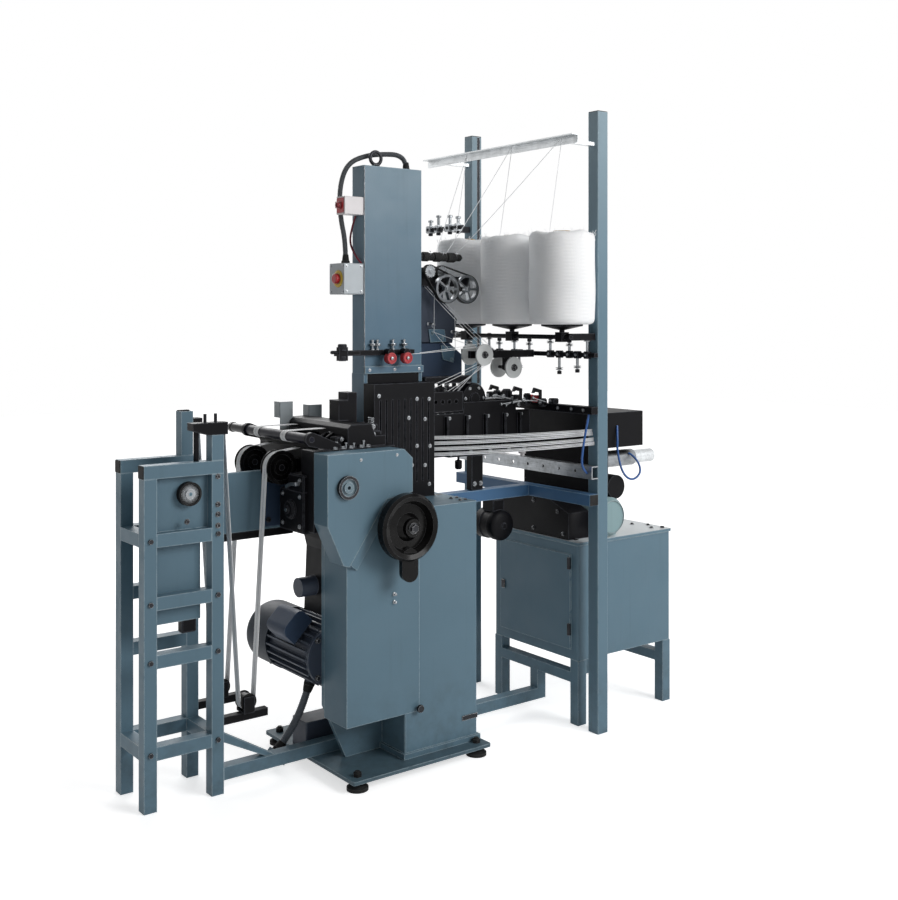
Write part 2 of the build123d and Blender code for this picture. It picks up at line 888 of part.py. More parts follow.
roller_arms.part.label = "roller_arms"
export_step(roller_arms.part, "parts/roller_arms.step")

# Guide roller with its two journals
with BuildPart() as guide_roller:
    roller_front = arm_front_y + arm_t + side_play
    roller_rear = arm_rear_y - side_play
    turned(at(roller_x, 0, roller_z), [
        (0, arm_front_y), (journal_r, arm_front_y), (journal_r, roller_front),
        (roller_r, roller_front), (roller_r, roller_rear), (journal_r, roller_rear),
        (journal_r, arm_rear_y + arm_t), (0, arm_rear_y + arm_t),
    ])
guide_roller.part.label = "guide_roller"
export_step(guide_roller.part, "parts/guide_roller.step")


def tape_wheel(tape_y):
    """A flanged wheel with a dished face, centred on one tape."""
    bore = twheel_pin_r + run_gap
    half = twheel_w / 2
    turned(at(twheel_x, tape_y, twheel_z), [
        (bore, -half), (twheel_hub_r, -half), (twheel_hub_r, twheel_dish - half),
        (twheel_r - twheel_dish, twheel_dish - half), (twheel_r - twheel_dish, -half),
        (twheel_flange_r, -half), (twheel_flange_r, twheel_flange_t - half),
        (twheel_r, twheel_flange_t - half), (twheel_r, half - twheel_flange_t),
        (twheel_flange_r, half - twheel_flange_t), (twheel_flange_r, half), (bore, half),
    ])


# The two tape wheels
with BuildPart() as tape_wheel_front:
    tape_wheel(tape_y_front)
tape_wheel_front.part.label = "tape_wheel_front"
export_step(tape_wheel_front.part, "parts/tape_wheel_front.step")

with BuildPart() as tape_wheel_rear:
    tape_wheel(tape_y_rear)
tape_wheel_rear.part.label = "tape_wheel_rear"
export_step(tape_wheel_rear.part, "parts/tape_wheel_rear.step")

# Return arms on the stand, each with two cheeks and a pulley pin
with BuildPart() as return_arms:
    for tape_y in (tape_y_front, tape_y_rear):
        cheek_y = rpulley_w / 2 + side_play
        block(stand_right, stand_right + rarm_l, tape_y - rarm_w / 2, tape_y + rarm_w / 2,
              rarm_z, rarm_top)
        block(rpulley_x - cheek_w / 2, rpulley_x + cheek_w / 2, tape_y - cheek_y - cheek_t,
              tape_y + cheek_y + cheek_t, rarm_top, rarm_top + cheek_base)
        for side in (-1, 1):
            cheek_mid = tape_y + side * (cheek_y + cheek_t / 2)
            block(rpulley_x - cheek_w / 2, rpulley_x + cheek_w / 2, cheek_mid - cheek_t / 2,
                  cheek_mid + cheek_t / 2, rarm_top, rarm_top + cheek_h)
        rod(at(rpulley_x, tape_y - cheek_y - cheek_t, rpulley_z),
            at(rpulley_x, tape_y + cheek_y + cheek_t, rpulley_z), rpulley_pin_r)
return_arms.part.label = "return_arms"
export_step(return_arms.part, "parts/return_arms.step")


def return_pulley(tape_y):
    """A plain pulley with two lips, centred on one tape."""
    bore = rpulley_pin_r + run_gap
    half = rpulley_w / 2
    turned(at(rpulley_x, tape_y, rpulley_z), [
        (bore, -half), (rpulley_r + rpulley_lip, -half), (rpulley_r + rpulley_lip, rpulley_lip - half),
        (rpulley_r, rpulley_lip - half), (rpulley_r, half - rpulley_lip),
        (rpulley_r + rpulley_lip, half - rpulley_lip), (rpulley_r + rpulley_lip, half), (bore, half),
    ])


# The two return pulleys
with BuildPart() as return_pulley_front:
    return_pulley(tape_y_front)
return_pulley_front.part.label = "return_pulley_front"
export_step(return_pulley_front.part, "parts/return_pulley_front.step")

with BuildPart() as return_pulley_rear:
    return_pulley(tape_y_rear)
return_pulley_rear.part.label = "return_pulley_rear"
export_step(return_pulley_rear.part, "parts/return_pulley_rear.step")

# Zipper tapes: two over the roller to the stand, four flat runs from the healds to the creel
tape_off = run_gap + tape_t / 2
roller_turn = Vector(roller_x, roller_z)
wheel_turn = Vector(twheel_x, twheel_z)
pulley_turn = Vector(rpulley_x, rpulley_z)
tape_end = Vector(stand_right + clamp_out / 2, clamp_z - run_gap / 2)
roller_tr = roller_r + tape_off
wheel_tr = twheel_r + tape_off
pulley_tr = rpulley_r + tape_off
run_start = Vector(takeoff_x - weld_seam, roller_z + roller_tr)
roller_in = Vector(roller_x, roller_z + roller_tr)
roller_out, wheel_in = touch(roller_turn, roller_tr, 1, wheel_turn, wheel_tr, 1)
wheel_out, pulley_in = touch(wheel_turn, wheel_tr, 1, pulley_turn, pulley_tr, -1)
pulley_out, run_end = touch(pulley_turn, pulley_tr, -1, tape_end, 0, 1)
post_front_x = creel_x - inlet_edge
with BuildPart() as zipper_tapes:
    for tape_y in (tape_y_front, tape_y_rear):
        def on_tape(spot):
            return at(spot.X, tape_y, spot.Y)

        with BuildLine():
            Line(on_tape(run_start), on_tape(roller_in))
            ThreePointArc(on_tape(roller_in),
                          on_tape(middle(roller_turn, roller_tr, roller_in, roller_out)),
                          on_tape(roller_out))
            Line(on_tape(roller_out), on_tape(wheel_in))
            ThreePointArc(on_tape(wheel_in),
                          on_tape(middle(wheel_turn, wheel_tr, wheel_in, wheel_out)),
                          on_tape(wheel_out))
            Line(on_tape(wheel_out), on_tape(pulley_in))
            ThreePointArc(on_tape(pulley_in),
                          on_tape(middle(pulley_turn, pulley_tr, pulley_in, pulley_out)),
                          on_tape(pulley_out))
            Line(on_tape(pulley_out), on_tape(run_end))
        with BuildSketch(Plane(on_tape(run_start), x_dir=(0, 1, 0), z_dir=(-1, 0, 0))):
            Rectangle(tape_w, tape_t)
        sweep()
    for start_share, end_share in zip(inlet_from_shares, inlet_up_shares):
        start = at(heald_right + inlet_edge, tower_y - heald_d / 2, col_top + heald_h * start_share)
        end = at(post_front_x, creel_y + post_w * end_share,
                 col_top + inlet_post_up + heald_h * end_share / 2)
        way = end - start
        with BuildSketch(Plane(start, x_dir=way.cross(Vector(0, 0, 1)), z_dir=way)):
            Rectangle(tape_t, inlet_w)
        extrude(amount=way.length)
zipper_tapes.part.label = "zipper_tapes"
export_step(zipper_tapes.part, "parts/zipper_tapes.step")

# Delivery stand posts, the short post under the clamp block and the tall one behind it
post_xs = (stand_x + stand_tube / 2, stand_right - stand_tube / 2)
post_ys = (stand_y + stand_tube / 2, stand_back - stand_tube / 2)
post_top = stand_h - stand_tube
tall_post_x = stand_x + tall_post_share * stand_l
with BuildPart() as delivery_posts:
    for x in post_xs:
        for y in post_ys:
            tube(at(x, y, 0), at(x, y, post_top), Vector(1, 0, 0), stand_tube, stand_tube)
    tube(at(post_xs[1], post_ys[0], stand_h), at(post_xs[1], post_ys[0], clamp_z), Vector(1, 0, 0),
         stand_tube, stand_tube)
    tube(at(tall_post_x, post_ys[1], stand_h), at(tall_post_x, post_ys[1], stand_h + tall_post_h),
         Vector(1, 0, 0), stand_tube, stand_tube)
delivery_posts.part.label = "delivery_posts"
export_step(delivery_posts.part, "parts/delivery_posts.step")

# Delivery stand rails, wheel plate with its pin, brace, floor rail and the conduit's socket on it
inner_left = stand_x + stand_tube
inner_right = stand_right - stand_tube
inner_front = stand_y + stand_tube
inner_back = stand_back - stand_tube
rail_heights = [stand_h * share for share in rail_height_shares]
mid_rail = rail_heights[-1]
dwheel_x = inner_left + dwheel_x_share * (inner_right - inner_left)
dwheel_z = mid_rail + stand_tube + dwheel_z_share * (post_top - mid_rail - stand_tube)
dplate_y = stand_y + wheel_plate_set
dwheel_y = dplate_y - side_play - dwheel_t
rail_end = col_x - skirt_out
with BuildPart() as delivery_rails:
    for y in post_ys:
        tube(at(stand_x, y, post_top + stand_tube / 2), at(stand_right, y, post_top + stand_tube / 2),
             Vector(0, 1, 0), stand_tube, stand_tube)
        for z in rail_heights:
            tube(at(inner_left, y, z + stand_tube / 2), at(inner_right, y, z + stand_tube / 2),
                 Vector(0, 1, 0), stand_tube, stand_tube)
    for x in post_xs:
        for z in rail_heights[::3]:
            tube(at(x, inner_front, z + stand_tube / 2), at(x, inner_back, z + stand_tube / 2),
                 Vector(1, 0, 0), stand_tube, stand_tube)
    block(inner_left, inner_right, dplate_y, dplate_y + wheel_plate_t, mid_rail + stand_tube, post_top)
    rod(at(dwheel_x, dwheel_y - side_play, dwheel_z), at(dwheel_x, dplate_y, dwheel_z), dwheel_pin_r)
    with BuildSketch(upright(stand_right, tape_y_front - brace_t / 2, 0)):
        with BuildLine():
            Polyline((0, brace_top), (0, brace_top - brace_w),
                     (brace_run - brace_w, rail_top + weld_seam), (brace_run, rail_top + weld_seam),
                     close=True)
        make_face()
    extrude(amount=-brace_t)
    tube(at(stand_right, tape_y_front, base_top + floor_rail_h / 2),
         at(rail_end, tape_y_front, base_top + floor_rail_h / 2), Vector(0, 1, 0), stand_tube, floor_rail_h)
    hose_way = hose_points[-1] - hose_points[-2]
    with BuildSketch(Plane(hose_points[-1], x_dir=(0, 1, 0), z_dir=hose_way)):
        with Locations(((inner_front - hose_y + hose_socket / 2) / 2, 0)):
            Rectangle(hose_y + hose_socket / 2 - inner_front, hose_socket)
    extrude(amount=hose_socket_l)
delivery_rails.part.label = "delivery_rails"
export_step(delivery_rails.part, "parts/delivery_rails.step")

# Delivery wheel on the stand
with BuildPart() as delivery_wheel:
    turned(at(dwheel_x, dwheel_y, dwheel_z), [
        (dwheel_pin_r + run_gap, 0), (dwheel_hub_r, 0), (dwheel_hub_r, dwheel_dish),
        (dwheel_r - dwheel_dish, dwheel_dish), (dwheel_r - dwheel_dish, 0), (dwheel_r, 0),
        (dwheel_r, dwheel_t), (dwheel_pin_r + run_gap, dwheel_t),
    ])
delivery_wheel.part.label = "delivery_wheel"
export_step(delivery_wheel.part, "parts/delivery_wheel.step")

# Link beam between the stand and the head
link_y = inner_front + link_y_share * (inner_back - inner_front)
link_low = mid_rail
head_low = col_top - link_drop
with BuildPart() as link_beam:
    with BuildSketch(upright(0, link_y - link_t / 2, 0)):
        with BuildLine():
            Polyline((stand_right, link_low), (head_x, head_low), (head_x, head_low + link_h),
                     (stand_right, link_low + link_h), close=True)
        make_face()
    extrude(amount=-link_t)
    block(stand_right, stand_right + link_t, inner_front, inner_back, link_low, link_low + stand_tube)
link_beam.part.label = "link_beam"
export_step(link_beam.part, "parts/link_beam.step")

# Clamp block over the stand's front post, with its rod and two studs, and the lug on the tall post
with BuildPart() as clamp_block:
    clamp_right = stand_right + clamp_out
    clamp_left = clamp_right - clamp_l
    rod_x = clamp_left + clamp_rod_share * clamp_l
    with BuildSketch(upright(clamp_left, stand_y, clamp_z)):
        with BuildLine():
            Polyline(*[(clamp_l * u, clamp_h * v) for u, v in clamp_outline_shares], close=True)
        make_face()
    extrude(amount=-stand_tube)
    rod(at(rod_x, post_ys[0], stand_h), at(rod_x, post_ys[0], clamp_z + clamp_h / 2), clamp_rod_r)
    for share in clamp_stud_shares:
        stud_x = clamp_left + share * clamp_l
        rod(at(stud_x, post_ys[0], clamp_z + clamp_h),
            at(stud_x, post_ys[0], clamp_z + clamp_h + clamp_stud_h), clamp_stud_r)
    block(tall_post_x + stand_tube / 2, clamp_right, stand_back - stand_tube, stand_back,
          clamp_z, clamp_z + clamp_h)
clamp_block.part.label = "clamp_block"
export_step(clamp_block.part, "parts/clamp_block.step")

# Tower: the tall hood with its front lip, and two legs under it
with BuildPart() as tower:
    with BuildSketch(Plane(at(tower_x + tower_w / 2, tower_y + tower_d / 2, tower_z))):
        RectangleRounded(tower_w, tower_d, tower_corner)
    extrude(amount=tower_h)
    block(tower_x, tower_right, tower_y - tower_lip, tower_y + tower_corner, tower_z, tower_z + tower_lip_h)
    for leg_x in (tower_x, tower_right - tower_leg_t):
        block(leg_x, leg_x + tower_leg_t, tower_y, tower_y + tower_d, col_top, tower_z - weld_seam)
tower.part.label = "tower"
export_step(tower.part, "parts/tower.step")

# Heald housing with slots in its face and the drilled comb at its right
heald_y = tower_y - heald_d
comb_z = col_top + comb_up_share * heald_h
with BuildPart() as heald_housing:
    block(col_x, heald_right, heald_y, tower_y, col_top, col_top + heald_h)
    slot_pitch = heald_w / (heald_slots + 1)
    for number in range(heald_slots):
        slot_x = col_x + slot_pitch * (number + 1)
        block(slot_x - heald_slot_w / 2, slot_x + heald_slot_w / 2, heald_y - cut_over,
              heald_y + heald_slot_d, col_top + heald_h * (1 - heald_slot_share) / 2,
              col_top + heald_h * (1 + heald_slot_share) / 2, Mode.SUBTRACT)
    block(heald_right, heald_right + comb_l, tower_y - heald_d / 2, tower_y - heald_d / 2 + comb_t,
          comb_z, comb_z + comb_h)
    for number in range(comb_holes):
        hole_x = heald_right + comb_l * (number + 1) / (comb_holes + 1)
        rod(at(hole_x, heald_y, comb_z + comb_h / 2), at(hole_x, tower_y, comb_z + comb_h / 2),
            comb_hole_r, Mode.SUBTRACT)
heald_housing.part.label = "heald_housing"
export_step(heald_housing.part, "parts/heald_housing.step")

# Conduit over the tower, from its roof round to the control box
tube_y = tower_y + tube_y_share * tower_d
cbox_low = tower_z + cbox_up_share * tower_h
tube_points = [at(tower_x + tube_from_share * tower_w, tube_y, tower_top)]
for along, up in tube_steps:
    tube_points.append(at(tower_x + along, tube_y, tower_top + up))
tube_points.append(at(tower_x - tube_in, tube_y, cbox_low + cbox_h))
with BuildPart() as tower_conduit:
    with BuildLine():
        route("tower conduit", tube_points)
    with BuildSketch(Plane(tube_points[0])):
        Circle(tube_r)
    sweep()
tower_conduit.part.label = "tower_conduit"
export_step(tower_conduit.part, "parts/tower_conduit.step")

# Switch box near the top of the tower
sbox_low = tower_z + sbox_up_share * tower_h
with BuildPart() as switch_box:
    block(tower_x - sbox_w, tower_x, tower_y, tower_y + sbox_d, sbox_low, sbox_low + sbox_h)
switch_box.part.label = "switch_box"
export_step(switch_box.part, "parts/switch_box.step")

# Control box, with a well for the button's neck in its left face
button_y = tower_y + button_y_share * cbox_d
button_z = cbox_low + cbox_h / 2
cbox_left = tower_x - cbox_w
with BuildPart() as control_box:
    block(cbox_left, tower_x, tower_y, tower_y + cbox_d, cbox_low, cbox_low + cbox_h)
    fillet(control_box.edges().filter_by(Axis.X), cbox_corner)
    rod(at(cbox_left - cut_over, button_y, button_z), at(cbox_left + button_well, button_y, button_z),
        button_neck_r + run_gap, Mode.SUBTRACT)
control_box.part.label = "control_box"
export_step(control_box.part, "parts/control_box.step")

# Stop button, a mushroom head on a neck
button_in = cbox_left + button_seat
button_face = cbox_left - (button_neck_l - button_seat)
with BuildPart() as stop_button:
    rod(at(button_face, button_y, button_z), at(button_in, button_y, button_z), button_neck_r)
    rod(at(button_face - button_t, button_y, button_z), at(button_face, button_y, button_z), button_r)
    fillet(stop_button.faces().sort_by(Axis.X)[0].edges(), button_seat / 2)
stop_button.part.label = "stop_button"
export_step(stop_button.part, "parts/stop_button.step")

# Tension bar across the tower's front, with its clamp and two tensioners
tbar_x = tower_x - tbar_over
tbar_z = tower_z + tbar_up
with BuildPart() as tower_tension_bar:
    block(tbar_x, tbar_x + tbar_l, tower_y - tbar_t, tower_y, tbar_z, tbar_z + tbar_h)
    block(tbar_x, tbar_x + tbar_clamp, tower_y - tbar_t - tbar_clamp / 2, tower_y - tbar_t,
          tbar_z - tbar_clamp_h / 2, tbar_z + tbar_clamp_h)
    for share in tensioner_shares:
        spot_x = tbar_x + share * tbar_l - tensioner_r
        rod(at(spot_x, tower_y - tbar_t - tensioner_l, tbar_z + tbar_h / 2),
            at(spot_x, tower_y - tbar_t, tbar_z + tbar_h / 2), tensioner_r)
tower_tension_bar.part.label = "tower_tension_bar"
export_step(tower_tension_bar.part, "parts/tower_tension_bar.step")

# Creel posts
post_mid_x = creel_x + post_w / 2
with BuildPart() as creel_posts:
    for y in (front_arm_y, rear_arm_y):
        with BuildSketch(Plane(at(post_mid_x, y, 0))):
            RectangleRounded(post_w, post_w, post_corner)
            Rectangle(post_w - 2 * tube_wall, post_w - 2 * tube_wall, mode=Mode.SUBTRACT)
        extrude(amount=post_h)
creel_posts.part.label = "creel_posts"
export_step(creel_posts.part, "parts/creel_posts.step")

# Top guide bar, an angle with two arms to the posts
gbar_right = pack_x + gbar_w / 2
with BuildPart() as creel_guide_bar:
    with BuildSketch(upright(gbar_right, gbar_y, gbar_z)):
        with BuildLine():
            Polyline((0, 0), (0, gbar_w), (-gbar_w, gbar_w), (-gbar_w, gbar_w - gbar_t),
                     (-gbar_t, gbar_w - gbar_t), (-gbar_t, 0), close=True)
        make_face()
    extrude(amount=-gbar_l)
    for y in (front_arm_y, rear_arm_y):
        block(gbar_right + weld_seam, creel_x, y - creel_arm_w / 2, y + creel_arm_w / 2,
              gbar_z, gbar_z + creel_arm_w / 2)
creel_guide_bar.part.label = "creel_guide_bar"
export_step(creel_guide_bar.part, "parts/creel_guide_bar.step")

# Creel bars: package rail, rear rod, tension bar and the arm that carries the disc spindles
disc_arm_y = creel_y + disc_arm_y_share * creel_d
disc_arm_left = creel_x - tension_h - disc_arm_l
disc_xs = [creel_x - tension_h - share * disc_arm_l for share in disc_x_shares]
disc_zs = [tension_z + tension_h / 2, tension_z + tension_h / 2 - disc_drop]
with BuildPart() as creel_bars:
    rod(at(pack_x, front_arm_y - creel_arm_w / 2, prail_z),
        at(pack_x, rear_arm_y + creel_arm_w / 2, prail_z), prail_r)
    for y in (front_arm_y, rear_arm_y):
        block(pack_x + prail_r + weld_seam, creel_x, y - creel_arm_w / 2, y + creel_arm_w / 2,
              prail_z - creel_arm_w / 2, prail_z + creel_arm_w / 2)
    rod(at(pack_x, rear_arm_y - rear_rod_l / 2, rear_rod_z),
        at(pack_x, rear_arm_y + rear_rod_l / 2, rear_rod_z), prail_r)
    block(pack_x + prail_r + weld_seam, creel_x, rear_arm_y - creel_arm_w / 2,
          rear_arm_y + creel_arm_w / 2, rear_rod_z - creel_arm_w / 2, rear_rod_z + creel_arm_w / 2)
    block(creel_x - tension_h, creel_x, creel_y, creel_y + creel_d, tension_z, tension_z + tension_h)
    with BuildSketch(upright(0, disc_arm_y, 0)):
        with Locations((creel_x - tension_h - weld_seam - disc_arm_l / 2, disc_zs[0])):
            Rectangle(disc_arm_l, disc_arm_h)
        with Locations((disc_xs[1], disc_zs[0] - disc_drop / 2)):
            Rectangle(disc_arm_h, disc_drop)
        for spot in zip(disc_xs, disc_zs):
            with Locations(spot):
                Circle(disc_arm_h / 2)
        for spot in zip(disc_xs, disc_zs):
            with Locations(spot):
                Circle(spindle_r + run_gap, mode=Mode.SUBTRACT)
    extrude(amount=-disc_arm_t)
creel_bars.part.label = "creel_bars"
export_step(creel_bars.part, "parts/creel_bars.step")


def disc_spindle(x, z):
    """A spindle through the arm with a collar and a disc on each side."""
    front = disc_arm_y - side_play
    back = disc_arm_y + disc_arm_t + side_play
    turned(at(x, 0, z), [
        (0, front - disc_reach), (disc_r, front - disc_reach), (disc_r, front - disc_reach + disc_t),
        (spindle_r, front - disc_reach + disc_t), (spindle_r, front - collar_t),
        (collar_r, front - collar_t),
        (collar_r, front), (spindle_r, front), (spindle_r, back), (collar_r, back),
        (collar_r, back + collar_t), (spindle_r, back + collar_t), (spindle_r, back + disc_reach - disc_t),
        (disc_r, back + disc_reach - disc_t), (disc_r, back + disc_reach), (0, back + disc_reach),
    ])


# Two disc spindles
with BuildPart() as disc_spindle_upper:
    disc_spindle(disc_xs[0], disc_zs[0])
disc_spindle_upper.part.label = "disc_spindle_upper"
export_step(disc_spindle_upper.part, "parts/disc_spindle_upper.step")

with BuildPart() as disc_spindle_lower:
    disc_spindle(disc_xs[1], disc_zs[1])
disc_spindle_lower.part.label = "disc_spindle_lower"
export_step(disc_spindle_lower.part, "parts/disc_spindle_lower.step")

# Package cups, clamped round the package rail
pack_ys = [pack_y + pack_pitch * number for number in range(pack_n)]
with BuildPart() as package_cups:
    for y in pack_ys:
        cup_place = at(pack_x, y, pack_z)
        block(pack_x - prail_clamp / 2, pack_x + prail_clamp / 2, y - prail_clamp / 2, y + prail_clamp / 2,
              prail_z - prail_clamp / 2, prail_z + prail_clamp / 2)
        rod(at(pack_x, y - prail_clamp, prail_z), at(pack_x, y + prail_clamp, prail_z),
            prail_r + weld_seam, Mode.SUBTRACT)
        with BuildSketch(Plane(cup_place, x_dir=(1, 0, 0), z_dir=(0, -1, 0))):
            with BuildLine():
                Polyline(
                    (0, prail_clamp / 2 - prail_drop), (cup_stem_r, prail_clamp / 2 - prail_drop),
                    (cup_stem_r, -cup_t - cup_cone_h), (cup_r, -cup_t), (cup_r, 0),
                    (cup_spike_r, 0), (cup_spike_r, cup_spike_h), (0, cup_spike_h), close=True,
                )
            make_face()
        revolve(axis=Axis(cup_place, (0, 0, 1)))
package_cups.part.label = "package_cups"
export_step(package_cups.part, "parts/package_cups.step")

# Yarn packages, standing on the cups
with BuildPart() as yarn_packages:
    for y in pack_ys:
        with BuildSketch(Plane(at(pack_x, y, pack_z))):
            Circle(pack_r)
            Circle(pack_bore_r, mode=Mode.SUBTRACT)
        extrude(amount=pack_h)
    circles = yarn_packages.edges().filter_by(GeomType.CIRCLE)
    fillet(circles.filter_by(lambda edge: edge.radius > pack_r - pack_play), pack_round)
yarn_packages.part.label = "yarn_packages"
export_step(yarn_packages.part, "parts/yarn_packages.step")

# Feeder bracket on the tower's right side with four pins, the thread rod over it, the plate behind it
feed_y = tower_y + feed_y_share * tower_d
feed_z = tower_z + feed_bar_up_share * tower_h
wheel_left = (tower_right + fwheel_left_x, feed_z - fwheel_down)
wheel_right = (tower_right + fwheel_right_x, feed_z - fwheel_down)
gear_left = (tower_right + fgear_left_x, feed_z + fgear_up)
gear_right = (tower_right + fgear_right_x, feed_z + fgear_up)
rear_layer_y = feed_y - side_play - feed_wheel_t
front_layer_y = rear_layer_y - feed_layer
with BuildPart() as feeder_bracket:
    with BuildSketch(upright(0, feed_y, 0)):
        with Locations((tower_right + feed_bar_l / 2, feed_z)):
            Rectangle(feed_bar_l, feed_bar_h)
        for spot in (wheel_left, wheel_right, gear_left, gear_right):
            with Locations(spot):
                Circle(feed_eye_r)
            with Locations((spot[0], (spot[1] + feed_z) / 2)):
                Rectangle(2 * feed_eye_r, abs(spot[1] - feed_z))
    extrude(amount=-feed_t)
    for spot, layer_y in ((wheel_left, front_layer_y), (gear_left, front_layer_y),
                          (wheel_right, rear_layer_y), (gear_right, rear_layer_y)):
        rod(at(spot[0], layer_y - side_play, spot[1]), at(spot[0], feed_y, spot[1]), feed_pin_r)
    rod(at(tower_right, feed_y, feed_z + feed_rod_up),
        at(tower_right + feed_rod_l, feed_y, feed_z + feed_rod_up), feed_rod_r)
    with BuildSketch(upright(tower_right, tower_y + tower_d - feed_plate_t, feed_z - feed_plate_drop)):
        with BuildLine():
            Polyline(*[(feed_plate_w * u, feed_plate_h * v) for u, v in feed_plate_shares], close=True)
        make_face()
    extrude(amount=-feed_plate_t)
feeder_bracket.part.label = "feeder_bracket"
export_step(feeder_bracket.part, "parts/feeder_bracket.step")


def feeder_wheel(spot, layer_y):
    """A spoked belt wheel."""
    with BuildSketch(upright(spot[0], layer_y, spot[1])) as face:
        Circle(fwheel_r)
        Circle(fwheel_r - fwheel_rim, mode=Mode.SUBTRACT)
        Circle(fwheel_hub_r)
        with PolarLocations((fwheel_r - fwheel_rim / 2) / 2, fwheel_spokes):
            Rectangle(fwheel_r - fwheel_rim / 2, fwheel_spoke_w)
        Circle(feed_pin_r + run_gap, mode=Mode.SUBTRACT)
    extrude(face.sketch, amount=-feed_wheel_t)


def feeder_gear(spot, layer_y):
    """A small toothed wheel."""
    with BuildSketch(upright(spot[0], layer_y, spot[1])) as face:
        Circle(fgear_r - fgear_tooth_h)
        with PolarLocations(fgear_r - fgear_tooth_h, fgear_teeth):
            Rectangle(2 * fgear_tooth_h, fgear_tooth_w)
        Circle(feed_pin_r + run_gap, mode=Mode.SUBTRACT)
    extrude(face.sketch, amount=-feed_wheel_t)


# Feeder wheels and gears, the left pair in front of the right pair
with BuildPart() as feeder_wheel_left:
    feeder_wheel(wheel_left, front_layer_y)
feeder_wheel_left.part.label = "feeder_wheel_left"
export_step(feeder_wheel_left.part, "parts/feeder_wheel_left.step")

with BuildPart() as feeder_wheel_right:
    feeder_wheel(wheel_right, rear_layer_y)
feeder_wheel_right.part.label = "feeder_wheel_right"
export_step(feeder_wheel_right.part, "parts/feeder_wheel_right.step")

with BuildPart() as feeder_gear_left:
    feeder_gear(gear_left, front_layer_y)
feeder_gear_left.part.label = "feeder_gear_left"
export_step(feeder_gear_left.part, "parts/feeder_gear_left.step")

with BuildPart() as feeder_gear_right:
    feeder_gear(gear_right, rear_layer_y)
feeder_gear_right.part.label = "feeder_gear_right"
export_step(feeder_gear_right.part, "parts/feeder_gear_right.step")

# Feeder belts
with BuildPart() as feeder_belts:
    for wheel_spot, gear_spot, layer_y in ((wheel_left, gear_left, front_layer_y),
                                           (wheel_right, gear_right, rear_layer_y)):
        with BuildSketch(upright(wheel_spot[0], layer_y, wheel_spot[1])):
            add(loop((0, 0), fwheel_r + run_gap,
                     (gear_spot[0] - wheel_spot[0], gear_spot[1] - wheel_spot[1]),
                     fgear_r + run_gap, fbelt_t))
        extrude(amount=-feed_wheel_t)
feeder_belts.part.label = "feeder_belts"
export_step(feeder_belts.part, "parts/feeder_belts.step")

# Yarn threads: package to guide bar, bar to feeder, feeder to disc arm, disc arm to comb
arm_mid_y = disc_arm_y + disc_arm_t / 2
with BuildPart() as yarn_threads:
    for number, y in enumerate(pack_ys):
        bar_spot = at(pack_x, y, gbar_z + gbar_w - gbar_t - thread_r)
        rod(at(pack_x - pack_r / 2, y, pack_z + pack_h + run_gap / 2), bar_spot, thread_r)
        rod(bar_spot, at(tower_right + thread_top_shares[number] * feed_rod_l, feed_y,
                         feed_z + feed_rod_up + feed_rod_r + thread_r), thread_r)
        arm_x = creel_x - tension_h - thread_arm_shares[number] * disc_arm_l
        rod(at(tower_right + thread_from + number * thread_pitch, feed_y + feed_t + thread_r,
               feed_z - feed_bar_h / 2 - thread_r),
            at(arm_x, arm_mid_y, disc_zs[0] + disc_arm_h / 2 + thread_r), thread_r)
        rod(at(arm_x, arm_mid_y, disc_zs[0] - disc_arm_h / 2 - thread_r),
            at(heald_right + thread_comb_shares[number] * comb_l, heald_y + heald_d / 2 + comb_t / 2,
               comb_z + comb_h + thread_r), thread_r)
yarn_threads.part.label = "yarn_threads"
export_step(yarn_threads.part, "parts/yarn_threads.step")

# Table rails from the column to the creel posts
with BuildPart() as table_rails:
    table_mid = col_top - table_h / 2
    tube(at(col_x + col_w, stand_y, table_mid), at(table_x - weld_seam, stand_y, table_mid),
         Vector(0, 1, 0), stand_tube, table_h)
    tube(at(table_x + stand_tube / 2, creel_y, table_mid),
         at(table_x + stand_tube / 2, creel_y + creel_d, table_mid),
         Vector(1, 0, 0), stand_tube, table_h)
table_rails.part.label = "table_rails"
export_step(table_rails.part, "parts/table_rails.step")

# Drilled channel along the creel posts
channel_z = col_top + channel_up
channel_x = creel_x - channel_w
with BuildPart() as channel_beam:
    with BuildSketch(upright(channel_x, creel_y, channel_z)):
        with BuildLine():
            Polyline((0, 0), (channel_w, 0), (channel_w, channel_t), (channel_t, channel_t),
                     (channel_t, channel_h - channel_t), (channel_w, channel_h - channel_t),
                     (channel_w, channel_h), (0, channel_h), close=True)
        make_face()
    extrude(amount=-creel_d)
    for number in range(channel_holes):
        hole_y = creel_y + creel_d * (number + 1) / (channel_holes + 1)
        rod(at(channel_x - cut_over, hole_y, channel_z + channel_h / 2),
            at(channel_x + cut_over, hole_y, channel_z + channel_h / 2), channel_hole_r, Mode.SUBTRACT)
channel_beam.part.label = "channel_beam"
export_step(channel_beam.part, "parts/channel_beam.step")

# Knobs on the channel
with BuildPart() as tension_knobs:
    for share in knob_shares:
        knob_y = creel_y + share * creel_d
        knob_x = channel_x + channel_w / 2
        knob_low = channel_z + channel_h
        rod(at(knob_x, knob_y, knob_low), at(knob_x, knob_y, knob_low + knob_neck_h), knob_neck_r)
        rod(at(knob_x, knob_y, knob_low + knob_neck_h),
            at(knob_x, knob_y, knob_low + knob_neck_h + knob_h), knob_r)
tension_knobs.part.label = "tension_knobs"
export_step(tension_knobs.part, "parts/tension_knobs.step")

